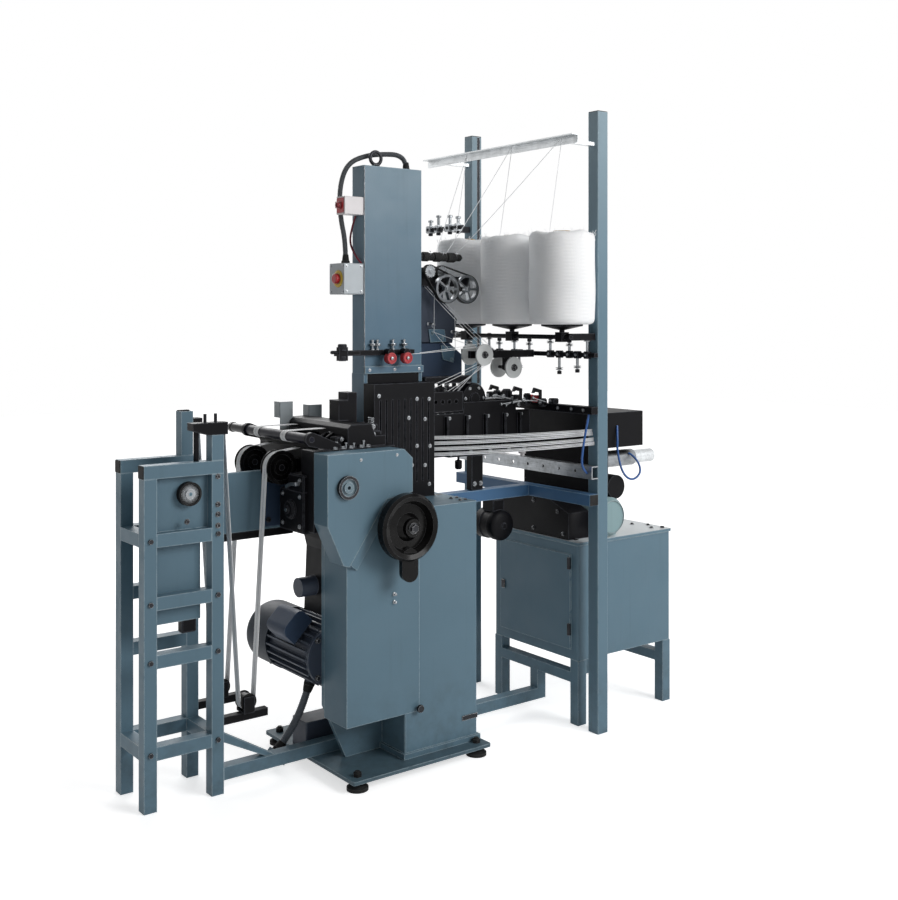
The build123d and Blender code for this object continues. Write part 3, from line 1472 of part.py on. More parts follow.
# Stop motion bar with its hooked levers
with BuildPart() as stop_motion_bar:
    block(creel_x - stop_w, creel_x, creel_y, creel_y + creel_d, stop_z, stop_z + stop_h)
    for share in lever_shares:
        lever_y = creel_y + share * creel_d
        with BuildSketch(upright(creel_x - stop_w, lever_y, stop_z + stop_h)):
            with BuildLine():
                Polyline((0, 0), (lever_w, 0), (lever_w, lever_h), (-lever_hook, lever_h + lever_w),
                         (-lever_hook - lever_w, lever_h - lever_w), (-lever_hook, lever_h - lever_w),
                         (-lever_hook + lever_w / 2, lever_h - lever_w / 2), (0, lever_h - lever_w),
                         close=True)
            make_face()
        extrude(amount=-lever_t)
stop_motion_bar.part.label = "stop_motion_bar"
export_step(stop_motion_bar.part, "parts/stop_motion_bar.step")

# Cabinet with its lid and the door on its left
with BuildPart() as cabinet_box:
    with BuildSketch(Plane(at(cab_x + cab_w / 2, cab_y + cab_d / 2, cab_z))):
        RectangleRounded(cab_w, cab_d, cab_corner)
    extrude(amount=cab_h)
    with BuildSketch(Plane(at(cab_x + cab_w / 2, cab_y + cab_d / 2, cab_z + cab_h))):
        RectangleRounded(cab_w + 2 * lid_over, cab_d + 2 * lid_over, cab_corner)
    extrude(amount=lid_t)
    block(cab_x - door_t, cab_x + door_t, cab_y + door_inset, cab_y + cab_d - door_inset,
          cab_z + door_inset, cab_z + cab_h - door_inset)
cabinet_box.part.label = "cabinet_box"
export_step(cabinet_box.part, "parts/cabinet_box.step")

# Cabinet frame: legs, side stretchers and the floor rail from the pedestal
leg_xs = (cab_x + stand_tube / 2, cab_x + cab_w - stand_tube / 2)
leg_ys = (cab_y + stand_tube / 2, cab_y + cab_d - stand_tube / 2)
with BuildPart() as cabinet_frame:
    for x in leg_xs:
        for y in leg_ys:
            tube(at(x, y, 0), at(x, y, cab_z), Vector(1, 0, 0), stand_tube, stand_tube)
        tube(at(x, leg_ys[0] + stand_tube / 2 + weld_seam, stretch_z + stretch_h / 2),
             at(x, leg_ys[1] - stand_tube / 2 - weld_seam, stretch_z + stretch_h / 2),
             Vector(1, 0, 0), stand_tube, stretch_h)
    tube(at(col_x + col_w + skirt_out, stand_y, base_top + floor_rail_h / 2),
         at(cab_x + stand_tube, stand_y, base_top + floor_rail_h / 2), Vector(0, 1, 0),
         stand_tube, floor_rail_h)
    tube(at(leg_xs[0], stand_y, rail_top + weld_seam), at(leg_xs[0], stand_y, stretch_z - weld_seam),
         Vector(1, 0, 0), stand_tube, stand_tube)
cabinet_frame.part.label = "cabinet_frame"
export_step(cabinet_frame.part, "parts/cabinet_frame.step")

# Motor of the unit on the cabinet, with its dished end cover
um_place_x = cab_x + um_x
um_z = lid_top + um_r + lid_over / 2
with BuildPart() as unit_motor:
    turned(at(um_place_x, cab_y, um_z), [
        (0, um_dish), (um_r - um_rim, um_dish), (um_r - um_rim, 0),
        (um_r, um_round), (um_r, um_l), (0, um_l),
    ])
    block(um_place_x - um_foot_w / 2, um_place_x + um_foot_w / 2, cab_y + um_foot_h, cab_y + um_l,
          lid_top, lid_top + um_foot_h)
unit_motor.part.label = "unit_motor"
export_step(unit_motor.part, "parts/unit_motor.step")

# Gear housing behind the motor, its neck, the drum beside it and the box on top
gear_left_x = cab_x + gear_x
gear_front_y = cab_y + gear_y
gear_top = lid_top + gear_h
neck_front_y = cab_y + neck_y
with BuildPart() as unit_gear_housing:
    block(gear_left_x, gear_left_x + gear_w, gear_front_y, gear_front_y + gear_d, lid_top, gear_top)
    block(gear_left_x, gear_left_x + neck_w, neck_front_y, gear_front_y, gear_top - neck_h, gear_top)
    block(gear_left_x, gear_left_x + top_w, neck_front_y, gear_front_y + gear_d,
          gear_top, gear_top + top_h)
    drum_x = gear_left_x + neck_w + drum_out
    drum_z = gear_top - neck_h + drum_z_share * neck_h
    rod(at(drum_x, neck_front_y, drum_z), at(drum_x, gear_front_y, drum_z), drum_r)
unit_gear_housing.part.label = "unit_gear_housing"
export_step(unit_gear_housing.part, "parts/unit_gear_housing.step")

# Gearmotor on the neck's right face
gm_x = gear_left_x + neck_w
gm_y = neck_front_y + gm_y_share * (gear_front_y - neck_front_y)
gm_z = gear_top - neck_h + gm_z_share * neck_h
with BuildPart() as gearmotor:
    rod(at(gm_x, gm_y, gm_z), at(gm_x + gm_l, gm_y, gm_z), gm_r)
    rod(at(gm_x + gm_l, gm_y, gm_z), at(gm_x + gm_l + gm_end_l, gm_y, gm_z), gm_end_r)
gearmotor.part.label = "gearmotor"
export_step(gearmotor.part, "parts/gearmotor.step")

# Hex bolts on the stand's front and on the cabinet lid, with the lifting eye on the tower
bolt_xs = (stand_x + stand_tube / 2, stand_right - stand_tube / 2)
with BuildPart() as fasteners:
    for x in bolt_xs:
        for z in rail_heights:
            with BuildSketch(upright(x, stand_y, z + stand_tube / 2)):
                RegularPolygon(bolt_r, 6)
            extrude(amount=bolt_h)
    for y in leg_ys:
        with BuildSketch(Plane(at(leg_xs[1], y, lid_top))):
            RegularPolygon(bolt_r, 6)
        extrude(amount=bolt_h)
    eye_x = tower_x + eye_x_share * tower_w
    eye_y = tower_y + tower_d / 2
    rod(at(eye_x, eye_y, tower_top), at(eye_x, eye_y, tower_top + eye_base_h), eye_base_r)
    with Locations(Location(at(eye_x, eye_y, tower_top + eye_base_h + eye_r), (90, 0, 0))):
        Torus(eye_r, eye_wire)
fasteners.part.label = "fasteners"
export_step(fasteners.part, "parts/fasteners.step")
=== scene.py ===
"""Looks of the zipper chain making machine, in metres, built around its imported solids."""

import json
import math
import random

import bmesh
import bpy
from mathutils import Matrix, Vector


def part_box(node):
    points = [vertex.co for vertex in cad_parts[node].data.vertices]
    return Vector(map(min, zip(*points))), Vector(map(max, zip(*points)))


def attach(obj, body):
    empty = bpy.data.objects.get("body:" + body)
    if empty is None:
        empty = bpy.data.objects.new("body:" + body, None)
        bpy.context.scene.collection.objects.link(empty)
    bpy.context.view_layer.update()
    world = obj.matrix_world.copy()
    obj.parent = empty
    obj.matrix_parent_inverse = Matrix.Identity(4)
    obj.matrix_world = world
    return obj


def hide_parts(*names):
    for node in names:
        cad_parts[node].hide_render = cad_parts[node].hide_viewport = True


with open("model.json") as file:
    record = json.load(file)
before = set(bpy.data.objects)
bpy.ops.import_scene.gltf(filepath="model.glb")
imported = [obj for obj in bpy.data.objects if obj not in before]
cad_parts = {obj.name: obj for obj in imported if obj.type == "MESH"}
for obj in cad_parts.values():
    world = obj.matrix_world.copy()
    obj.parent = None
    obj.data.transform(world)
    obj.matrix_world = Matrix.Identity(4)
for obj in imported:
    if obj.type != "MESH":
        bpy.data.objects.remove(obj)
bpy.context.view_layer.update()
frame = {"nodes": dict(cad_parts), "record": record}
nodes = frame["nodes"]
chance = random.Random(11)
scene = bpy.context.scene

# Places and sizes are in mm, and places start at the front left corner of the base plate
mm = 0.001
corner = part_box("base_plate")[0]
right, back, up = Vector((1, 0, 0)), Vector((0, 1, 0)), Vector((0, 0, 1))
left, front, down = -right, -back, -up


def at(x, y, z):
    """The place in the shared frame of a place measured in mm from the base plate's corner."""
    return Vector((corner.x + x * mm, corner.y + y * mm, z * mm))


def seat(node):
    """The lowest and highest corner of a solid, in mm from the base plate's corner."""
    shift = Vector((corner.x, corner.y, 0.0))
    low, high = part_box(node)
    return (low - shift) / mm, (high - shift) / mm


def middle(node):
    """The middle of a solid's box, in mm from the base plate's corner."""
    low, high = seat(node)
    return (low + high) / 2


# Materials

def shade(red, green, blue):
    """A colour given as 8-bit display values."""
    def linear(level):
        level = level / 255
        return level / 12.92 if level <= 0.04045 else ((level + 0.055) / 1.055) ** 2.4
    return linear(red), linear(green), linear(blue), 1.0


def put(tree, kind, settings=None, **inputs):
    """A node with its settings, and each input set to a value or linked to another node's socket."""
    made = tree.nodes.new(kind)
    for key, value in (settings or {}).items():
        setattr(made, key, value)
    for key, value in inputs.items():
        join(tree, value, made.inputs[key.replace("_", " ")])
    return made


def join(tree, value, socket):
    """Links a socket to another one, or sets its value."""
    if isinstance(value, bpy.types.NodeSocket):
        tree.links.new(value, socket)
    else:
        socket.default_value = value


def sums(tree, operation, first, second=0.0, third=0.0):
    """A math node's result."""
    made = tree.nodes.new("ShaderNodeMath")
    made.operation = operation
    for value, socket in zip((first, second, third), made.inputs):
        join(tree, value, socket)
    return made.outputs[0]


def spread(tree, value, low, high, to_low=0.0, to_high=1.0):
    """A value taken from one range to another, held at its ends."""
    return put(tree, "ShaderNodeMapRange", {"clamp": True}, Value=value, From_Min=low, From_Max=high,
               To_Min=to_low, To_Max=to_high).outputs[0]


def blended(tree, share, first, second, blend="MIX"):
    """One colour laid over another."""
    made = tree.nodes.new("ShaderNodeMix")
    made.data_type = "RGBA"
    made.blend_type = blend
    for value, socket in ((share, made.inputs[0]), (first, made.inputs[6]), (second, made.inputs[7])):
        join(tree, value, socket)
    return made.outputs[2]


def noise(tree, where, scale, detail=3.0, rough=0.55):
    """A noise value over the surface."""
    return put(tree, "ShaderNodeTexNoise", Vector=where, Scale=scale, Detail=detail,
               Roughness=rough).outputs["Fac"]


def stretched(tree, where, x, y, z):
    """Coordinates stretched along the axes."""
    return put(tree, "ShaderNodeMapping", Vector=where, Scale=(x, y, z)).outputs[0]


colour_sockets = ("Colour", "RubbedAndLit", "Tarnish", "Shadow")
skin_results = ("Colour", "Roughness", "Height")


def new_group(name, inputs, outputs):
    """A node group: its tree, the sockets it is given and returns, and the place on the piece."""
    tree = bpy.data.node_groups.new(name, "ShaderNodeTree")
    for way, labels in (("INPUT", inputs), ("OUTPUT", outputs)):
        for label in labels:
            kind = "NodeSocketColor" if label in colour_sockets else "NodeSocketFloat"
            tree.interface.new_socket(name=label, in_out=way, socket_type=kind)
    given, result = tree.nodes.new("NodeGroupInput").outputs, tree.nodes.new("NodeGroupOutput").inputs
    return tree, given, result, put(tree, "ShaderNodeTexCoord").outputs["Object"]


def wear_and_highlight_edges(tree, edge_wear_and_highlight, width, amount):
    """The mask of worn edges and painted edge highlights, for edges of a width in metres."""
    return put(tree, "ShaderNodeGroup", {"node_tree": edge_wear_and_highlight}, Width=width, Amount=amount).outputs["Mask"]


def make_edge_wear():
    """Where a surface turns over an edge: a mask, broken up by noise, for worn edges, and on enamel for
    painted edge highlights too.
    """
    tree, given, result, where = new_group("edge_wear_and_highlight", ("Width", "Amount"), ("Mask",))
    turned = put(tree, "ShaderNodeBevel", {"samples": 4}, Radius=given["Width"]).outputs[0]
    flat = put(tree, "ShaderNodeNewGeometry").outputs["Normal"]
    agree = put(tree, "ShaderNodeVectorMath", {"operation": "DOT_PRODUCT"})
    join(tree, turned, agree.inputs[0])
    join(tree, flat, agree.inputs[1])
    edge = spread(tree, agree.outputs["Value"], 0.993, 0.95)
    patches = spread(tree, noise(tree, where, 38.0, 5.0, 0.7), 0.3, 0.5)
    wear_and_highlight = sums(tree, "MULTIPLY", edge, patches)
    join(tree, sums(tree, "MULTIPLY", wear_and_highlight, given["Amount"]), result["Mask"])
    return tree


def make_paint_skin(edge_wear_and_highlight):
    """Sprayed enamel: clouding, runs of grime, dirt near the floor, pale edges that are partly worn paint and
    partly painted highlight, and a paler top that is partly faded paint and partly painted light from above.
    """
    tree, given, result, where = new_group(
        "paint_skin", ("Colour", "RubbedAndLit", "Edge Width", "WearAndHighlight", "Clouding", "Gloss"), skin_results)
    cloud = spread(tree, noise(tree, where, 2.6, 4.0), 0.3, 0.7, -1.0, 1.0)
    level = sums(tree, "MULTIPLY_ADD", cloud, given["Clouding"], 1.0)
    hue = put(tree, "ShaderNodeHueSaturation", Color=given["Colour"], Value=level).outputs[0]
    runs = noise(tree, stretched(tree, where, 30.0, 30.0, 1.6), 1.0, 4.0, 0.6)
    grime = spread(tree, runs, 0.58, 0.8, 0.0, 0.1)
    height = put(tree, "ShaderNodeSeparateXYZ", Vector=where).outputs["Z"]
    # Paler towards the top: partly faded paint, partly painted light falling from above
    faded_and_top_lit = blended(tree, spread(tree, height, 1.45, 2.25, 0.0, 0.42), hue, given["RubbedAndLit"])
    splash = sums(tree, "MULTIPLY", spread(tree, height, 0.32, 0.0, 0.0, 0.4),
                  spread(tree, noise(tree, where, 16.0, 5.0, 0.65), 0.4, 0.7))
    dirty = blended(tree, sums(tree, "MAXIMUM", grime, splash), faded_and_top_lit, shade(44, 46, 46))
    # Pale edges: partly worn paint, partly painted highlight along the edges
    wear_and_highlight = wear_and_highlight_edges(tree, edge_wear_and_highlight, given["Edge Width"], given["WearAndHighlight"])
    join(tree, blended(tree, wear_and_highlight, dirty, given["RubbedAndLit"]), result["Colour"])
    smear = spread(tree, noise(tree, where, 9.0, 5.0, 0.7), 0.3, 0.75, -0.09, 0.13)
    join(tree, sums(tree, "ADD", given["Gloss"], smear), result["Roughness"])
    peel = noise(tree, where, 420.0, 2.0, 0.5)
    join(tree, sums(tree, "SUBTRACT", sums(tree, "MULTIPLY", peel, 0.4), wear_and_highlight), result["Height"])
    return tree


def make_metal_marks(edge_wear_and_highlight):
    """Machined metal: fine lines across one way, tarnish and bright edges."""
    tree, given, result, where = new_group(
        "metal_marks", ("Colour", "Tarnish", "Lines", "Gloss"), skin_results)
    lines = noise(tree, stretched(tree, where, 1.0, 0.06, 1.0), given["Lines"], 3.0, 0.6)
    spots = spread(tree, noise(tree, where, 24.0, 5.0, 0.7), 0.45, 0.75)
    edge = wear_and_highlight_edges(tree, edge_wear_and_highlight, 0.0012, 0.8)
    aged = blended(tree, sums(tree, "MULTIPLY", spots, 0.6), given["Colour"], given["Tarnish"])
    bright = blended(tree, edge, aged, shade(212, 214, 216))
    scored = spread(tree, lines, 0.35, 0.7, 0.0, 0.25)
    join(tree, blended(tree, scored, bright, shade(40, 41, 43)), result["Colour"])
    rough = sums(tree, "MULTIPLY_ADD", spots, 0.16, given["Gloss"])
    join(tree, sums(tree, "MULTIPLY_ADD", lines, 0.12, rough), result["Roughness"])
    join(tree, lines, result["Height"])
    return tree


def make_mould_skin(edge_wear_and_highlight):
    """Moulded plastic and rubber: fine grain, dust that dulls it, rubbed edges."""
    tree, given, result, where = new_group("mould_skin", ("Colour", "Dust", "Grain", "Gloss"), skin_results)
    film = spread(tree, noise(tree, where, 13.0, 5.0, 0.65), 0.38, 0.78)
    dust = sums(tree, "MULTIPLY", film, given["Dust"])
    dusty = blended(tree, dust, given["Colour"], shade(150, 152, 150))
    edge = wear_and_highlight_edges(tree, edge_wear_and_highlight, 0.0015, 0.35)
    join(tree, blended(tree, edge, dusty, shade(128, 130, 132)), result["Colour"])
    join(tree, sums(tree, "MULTIPLY_ADD", film, 0.18, given["Gloss"]), result["Roughness"])
    join(tree, noise(tree, where, given["Grain"], 2.0, 0.5), result["Height"])
    return tree


def make_spun_fibre():
    """Spun polyester: fine ridges that cross at two angles, painted shade in the grooves between them, and
    soft colour changes.
    """
    tree, given, result, where = new_group(
        "spun_fibre", ("Colour", "Shadow", "Pitch", "Lean"), ("Colour", "Height"))
    parts = put(tree, "ShaderNodeSeparateXYZ", Vector=where).outputs
    around = sums(tree, "ADD", parts["X"], parts["Y"])
    rise = sums(tree, "MULTIPLY", around, given["Lean"])
    ridges = []
    for side in (1.0, -1.0):
        phase = sums(tree, "MULTIPLY", sums(tree, "MULTIPLY_ADD", rise, side, parts["Z"]), given["Pitch"])
        ridges.append(sums(tree, "ABSOLUTE", sums(tree, "SINE", phase)))
    cross = sums(tree, "MAXIMUM", ridges[0], ridges[1])
    fuzz = noise(tree, where, 520.0, 4.0, 0.7)
    height = sums(tree, "MULTIPLY_ADD", fuzz, 0.7, cross)
    soft = spread(tree, noise(tree, where, 12.0, 4.0, 0.6), 0.3, 0.7, 0.0, 0.35)
    dark = sums(tree, "MAXIMUM", spread(tree, height, 1.15, 0.45, 0.0, 0.5), soft)
    join(tree, blended(tree, dark, given["Colour"], given["Shadow"]), result["Colour"])
    join(tree, height, result["Height"])
    return tree


edge_wear_and_highlight = make_edge_wear()
paint_skin = make_paint_skin(edge_wear_and_highlight)
metal_marks = make_metal_marks(edge_wear_and_highlight)
mould_skin = make_mould_skin(edge_wear_and_highlight)
spun_fibre = make_spun_fibre()


finishes, finish_slots, slot_finishes = {}, {}, {}


def finish_from(name, slot, skin, given, bump, bump_depth, **plain):
    """A material for a slot: a skin group gives its colour, roughness and bump, plain values the rest.

    The first finish made for a slot is the one that the slot's solids get.
    """
    made = bpy.data.materials.new(name)
    made.use_nodes = True
    tree = made.node_tree
    surface = tree.nodes["Principled BSDF"]
    skin_node = put(tree, "ShaderNodeGroup", {"node_tree": skin}, **given)
    tree.links.new(skin_node.outputs["Colour"], surface.inputs["Base Color"])
    if "Roughness" in skin_node.outputs:
        tree.links.new(skin_node.outputs["Roughness"], surface.inputs["Roughness"])
    relief = put(tree, "ShaderNodeBump", Strength=bump, Distance=bump_depth,
                 Height=skin_node.outputs["Height"])
    tree.links.new(relief.outputs[0], surface.inputs["Normal"])
    for key, value in plain.items():
        surface.inputs[key.replace("_", " ")].default_value = value
    made.diffuse_color = given["Colour"]
    finishes[name], finish_slots[name] = made, slot
    slot_finishes.setdefault(slot, name)


def painted(name, slot, colour, rubbed_and_lit, gloss, wear_and_highlight_amount=0.75, clouding=0.05, shine=0.3):
    """Enamel on metal. Its pale colour gives worn edges with painted edge highlights, and a paler top with
    painted light from above.
    """
    finish_from(
        name, slot, paint_skin,
        {"Colour": shade(*colour), "RubbedAndLit": shade(*rubbed_and_lit), "Edge_Width": 0.0045, "WearAndHighlight": wear_and_highlight_amount,
         "Clouding": clouding, "Gloss": gloss},
        bump=0.35, bump_depth=0.0003, Specular_IOR_Level=shine)


def machined(name, slot, colour, tarnish, lines, gloss):
    """Bare metal."""
    finish_from(
        name, slot, metal_marks,
        {"Colour": shade(*colour), "Tarnish": shade(*tarnish), "Lines": lines, "Gloss": gloss},
        bump=0.18, bump_depth=0.0002, Metallic=1.0)


def moulded(name, slot, colour, dust, grain, gloss, coat=0.0, shine=0.3):
    """Plastic or rubber."""
    finish_from(
        name, slot, mould_skin,
        {"Colour": shade(*colour), "Dust": dust, "Grain": grain, "Gloss": gloss},
        bump=0.25, bump_depth=0.0002, Coat_Weight=coat, Coat_Roughness=0.12, Specular_IOR_Level=shine)


def spun(name, slot, colour, shadow, pitch, lean, bump, light_depth):
    """Yarn or woven tape, with the depth in metres to which light passes into it."""
    finish_from(
        name, slot, spun_fibre,
        {"Colour": shade(*colour), "Shadow": shade(*shadow), "Pitch": pitch, "Lean": lean},
        bump=bump, bump_depth=0.0006, Roughness=0.85, Sheen_Weight=0.35, Sheen_Roughness=0.5,
        Subsurface_Weight=0.6, Subsurface_Scale=light_depth, Subsurface_Radius=(1.0, 1.0, 1.0))


painted("blue_enamel", "blue_paint", (92, 119, 134), (170, 186, 193), 0.46)
# Deeper, bluer copy of the blue enamel on the table rails: painted shade
painted("rail_enamel_shaded", "blue_paint", (66, 102, 138), (150, 176, 194), 0.42)
painted("tower_enamel", "blue_paint", (80, 108, 127), (166, 184, 190), 0.46)
# Darker enamel on the base plate: partly oil, partly painted shade
painted("base_enamel_oiled_and_shaded", "blue_paint", (74, 96, 107), (150, 166, 174), 0.5)
painted("cap_enamel", "blue_paint", (112, 132, 142), (176, 190, 196), 0.36)
moulded("blue_tube", "blue_paint", (34, 84, 150), 0.05, 200.0, 0.24, 0.2)
painted("motor_enamel", "motor_paint", (58, 66, 80), (120, 128, 138), 0.46, shine=0.25)
painted("navy_enamel", "motor_paint", (46, 62, 84), (96, 110, 128), 0.46, shine=0.2)
# Darker copy of the motor enamel on the fan cover: painted shade
painted("fan_enamel_shaded", "motor_paint", (42, 50, 60), (104, 112, 122), 0.5, shine=0.15)
painted("black_enamel", "black_paint", (15, 15, 18), (84, 86, 92), 0.44, shine=0.09)
moulded("black_gloss", "black_gloss", (9, 8, 9), 0.02, 260.0, 0.16, 0.06, 0.1)
# Black with blue in it on the guide roller: the blue is a painted navy sheen
moulded("roller_black_blue_sheen", "black_gloss", (16, 17, 30), 0.02, 260.0, 0.34, 0.04, 0.1)
machined("machined_steel", "steel", (150, 154, 158), (92, 92, 90), 260.0, 0.26)
machined("satin_aluminium", "pale_steel", (214, 217, 219), (170, 172, 172), 180.0, 0.34)
machined("black_steel", "dark_steel", (52, 53, 56), (34, 32, 30), 220.0, 0.38)
moulded("black_rubber", "rubber", (20, 20, 21), 0.1, 320.0, 0.62, shine=0.15)
moulded("grey_hose", "grey_hose", (98, 104, 112), 0.14, 300.0, 0.46)
moulded("dark_hose", "grey_hose", (58, 62, 66), 0.12, 300.0, 0.44)
moulded("grey_plastic", "grey_box", (186, 193, 198), 0.1, 420.0, 0.42)
moulded("white_plastic", "grey_box", (226, 222, 223), 0.06, 420.0, 0.36)
painted("pale_enamel", "grey_box", (158, 166, 170), (112, 118, 122), 0.42, 0.5, 0.03)
painted("mist_enamel", "grey_box", (134, 160, 164), (196, 206, 208), 0.42, 0.6)
painted("lid_enamel", "grey_box", (218, 223, 225), (150, 156, 160), 0.38, 0.5, 0.03)
moulded("red_plastic", "red_plastic", (178, 36, 44), 0.06, 360.0, 0.28, 0.2)
moulded("dark_red_plastic", "red_plastic", (128, 24, 34), 0.06, 360.0, 0.3, 0.2)
moulded("yellow_plastic", "red_plastic", (206, 176, 62), 0.08, 360.0, 0.36)
moulded("red_cable", "red_plastic", (112, 32, 48), 0.08, 300.0, 0.42)
moulded("glazed_discs", "white_discs", (206, 209, 209), 0.3, 90.0, 0.2, 0.4)
spun("zipper_tape", "tape", (250, 251, 252), (224, 228, 233), 2600.0, 1.0, 0.5, 0.0008)
moulded("chain_nylon", "tape", (214, 218, 222), 0.05, 300.0, 0.4)
spun("white_yarn", "yarn", (247, 248, 250), (222, 228, 236), 900.0, 0.35, 0.55, 0.0006)
spun("wound_yarn", "yarn", (250, 251, 252), (228, 233, 240), 900.0, 0.35, 0.55, 0.03)
moulded("paper_tube", "yarn", (170, 146, 112), 0.1, 140.0, 0.7, shine=0.2)
own_finishes = {
    "switch_box": "white_plastic", "unit_motor": "mist_enamel", "bearing_cap": "cap_enamel",
    "motor_terminal_box": "navy_enamel", "table_rails": "rail_enamel_shaded", "guide_roller": "roller_black_blue_sheen",
    "tower": "tower_enamel", "base_plate": "base_enamel_oiled_and_shaded", "motor_fan_cover": "fan_enamel_shaded",
}
slot_of = {
    part["node"]: part["material_slot"] for part in frame["record"]["subparts"] if "material_slot" in part
}
for name, node in nodes.items():
    node.data.materials.clear()
    node.data.materials.append(finishes[own_finishes.get(name, slot_finishes[slot_of[name]])])

# Shapes for the added pieces

def blanks(count):
    """Empty shapes to add forms to."""
    return [bmesh.new() for number in range(count)]


def on_front(y, *spots):
    """Places on a face that looks to the front, each from its x and z."""
    return [at(x, y, z) for x, z in spots]


def on_side(x, *spots):
    """Places on a face that looks to the side, each from its y and z."""
    return [at(x, y, z) for y, z in spots]


def on_top(z, *spots):
    """Places on a face that looks up, each from its x and y."""
    return [at(x, y, z) for x, y in spots]


def turned(shape, place, way, outline, sides=24):
    """Adds a form turned about a line: outline gives its radius and the distance along the line."""
    aim = Vector(way).to_track_quat("Z", "Y").to_matrix()
    rings = []
    for radius, along in outline:
        count = sides if radius else 1
        angles = [math.tau * (step + 0.5) / sides for step in range(count)]
        rings.append([
            shape.verts.new(place + aim @ Vector((radius * math.cos(a), radius * math.sin(a), along)) * mm)
            for a in angles])
    for low, high in zip(rings, rings[1:]):
        for step in range(sides):
            after = (step + 1) % sides
            loop = (low[step % len(low)], low[after % len(low)],
                    high[after % len(high)], high[step % len(high)])
            loop = list(dict.fromkeys(loop))
            if len(loop) > 2:
                shape.faces.new(loop)


def stepped(shape, place, way, steps, sides=24):
    """Adds a solid turned form with flat ends."""
    turned(shape, place, way, [(0, steps[0][1]), *steps, (0, steps[-1][1])], sides)


def box(shape, low, high, soft):
    """Adds a box between two corners with broken edges."""
    low, high = at(*low), at(*high)
    sized = Matrix.Translation((low + high) / 2) @ Matrix.Diagonal((*(high - low), 1.0))
    corners = bmesh.ops.create_cube(shape, size=1.0, matrix=sized)["verts"]
    edges = list(dict.fromkeys(edge for vert in corners for edge in vert.link_edges))
    bmesh.ops.bevel(shape, geom=edges, offset=soft * mm, segments=2, affect="EDGES")


def plate(shape, outline, across, soft=0.8):
    """Adds a plate: an outline of places, thickened by a vector in mm, with broken edges."""
    near = [shape.verts.new(place) for place in outline]
    far = [shape.verts.new(place + Vector(across) * mm) for place in outline]
    faces = [shape.faces.new(near), shape.faces.new(far[::-1])]
    for step in range(len(near)):
        after = (step + 1) % len(near)
        faces.append(shape.faces.new((near[after], near[step], far[step], far[after])))
    edges = list(dict.fromkeys(edge for face in faces for edge in face.edges))
    bmesh.ops.bevel(shape, geom=edges, offset=soft * mm, segments=1, affect="EDGES")


def walls(shape, low, high):
    """Adds the faces between two rings of points."""
    for step in range(len(low)):
        after = (step + 1) % len(low)
        shape.faces.new((low[step], low[after], high[after], high[step]))


def swept(shape, places, section, side=None):
    """Adds a section, or one for each place, swept along places. A side given holds its width."""
    rings, last, rise = [], len(places) - 1, None
    for number, place in enumerate(places):
        run = (places[min(number + 1, last)] - places[max(number - 1, 0)]).normalized()
        if side is not None:
            rise = run.cross(side).normalized()
        elif rise is None:
            rise = run.orthogonal().normalized()
        else:
            rise = (rise - run * rise.dot(run)).normalized()
        width = rise.cross(run)
        spots = section(number) if callable(section) else section
        rings.append([shape.verts.new(place + (width * u + rise * v) * mm) for u, v in spots])
    for low, high in zip(rings, rings[1:]):
        walls(shape, low, high)
    shape.faces.new(rings[0])
    shape.faces.new(rings[-1][::-1])


def ring(radius, sides):
    """A round section."""
    angles = [math.tau * step / sides for step in range(sides)]
    return [(radius * math.cos(a), radius * math.sin(a)) for a in angles]


def flat_bar(half_wide, half_thick):
    """A flat section."""
    return [(half_wide * u, half_thick * v) for u, v in ((-1, -1), (1, -1), (1, 1), (-1, 1))]


def wire(shape, places, radius, sides=8):
    """Adds a round wire or rod along places."""
    swept(shape, places, ring(radius, sides))


def cap_screw(shape, place, way, radius):
    """Adds a socket head screw on its washer."""
    rise = 1.1 * radius
    turned(shape, place, way, [
        (0, 0), (1.6 * radius, 0), (1.6 * radius, 0.2 * radius), (radius, 0.25 * radius),
        (radius, 0.9 * rise), (0.88 * radius, rise), (0.52 * radius, rise), (0.48 * radius, 0.5 * rise),
        (0, 0.45 * rise)], 18)


def cap_screws(shape, places, way, radius):
    """Adds a socket head screw at each place."""
    for place in places:
        cap_screw(shape, place, way, radius)


def hex_bolt(shape, place, way, across):
    """Adds a hexagon head on its washer."""
    reach = across / math.sqrt(3)
    rise = 0.55 * across
    turned(shape, place, way, [(0, 0), (1.25 * reach, 0), (1.25 * reach, 0.12 * across), (0, 0.12 * across)])
    turned(shape, place, way, [
        (0, 0), (reach, 0.1 * across), (reach, 0.85 * rise), (0.86 * reach, rise), (0, rise)], 6)


def knurled(shape, place, way, radius, length, teeth=30):
    """Adds a round knob with a knurled rim and a dished face."""
    aim = Vector(way).to_track_quat("Z", "Y").to_matrix()
    places = [place + aim @ up * mm * length * share for share in (0.08, 0.9)]
    cut = 0.06 * radius
    rim = [((radius - cut * (step % 2)) * math.cos(a), (radius - cut * (step % 2)) * math.sin(a))
           for step, a in enumerate(math.tau * step / (2 * teeth) for step in range(2 * teeth))]
    swept(shape, places, rim)
    turned(shape, place, way, [
        (0, 0), (0.9 * radius, 0), (0.9 * radius, length), (0.7 * radius, length),
        (0.6 * radius, 0.86 * length), (0.25 * radius, 0.86 * length), (0.2 * radius, length), (0, length)])


def spring(shape, first, last, radius, gauge, turns, turn_steps=12):
    """Adds a coil spring between two places."""
    way = last - first
    aim = way.to_track_quat("Z", "Y").to_matrix()
    steps = turn_steps * turns
    coil = []
    for step in range(steps + 1):
        angle = math.tau * step / turn_steps
        coil.append(first + way * step / steps
                    + aim @ Vector((math.cos(angle), math.sin(angle), 0.0)) * radius * mm)
    wire(shape, coil, gauge, 6)


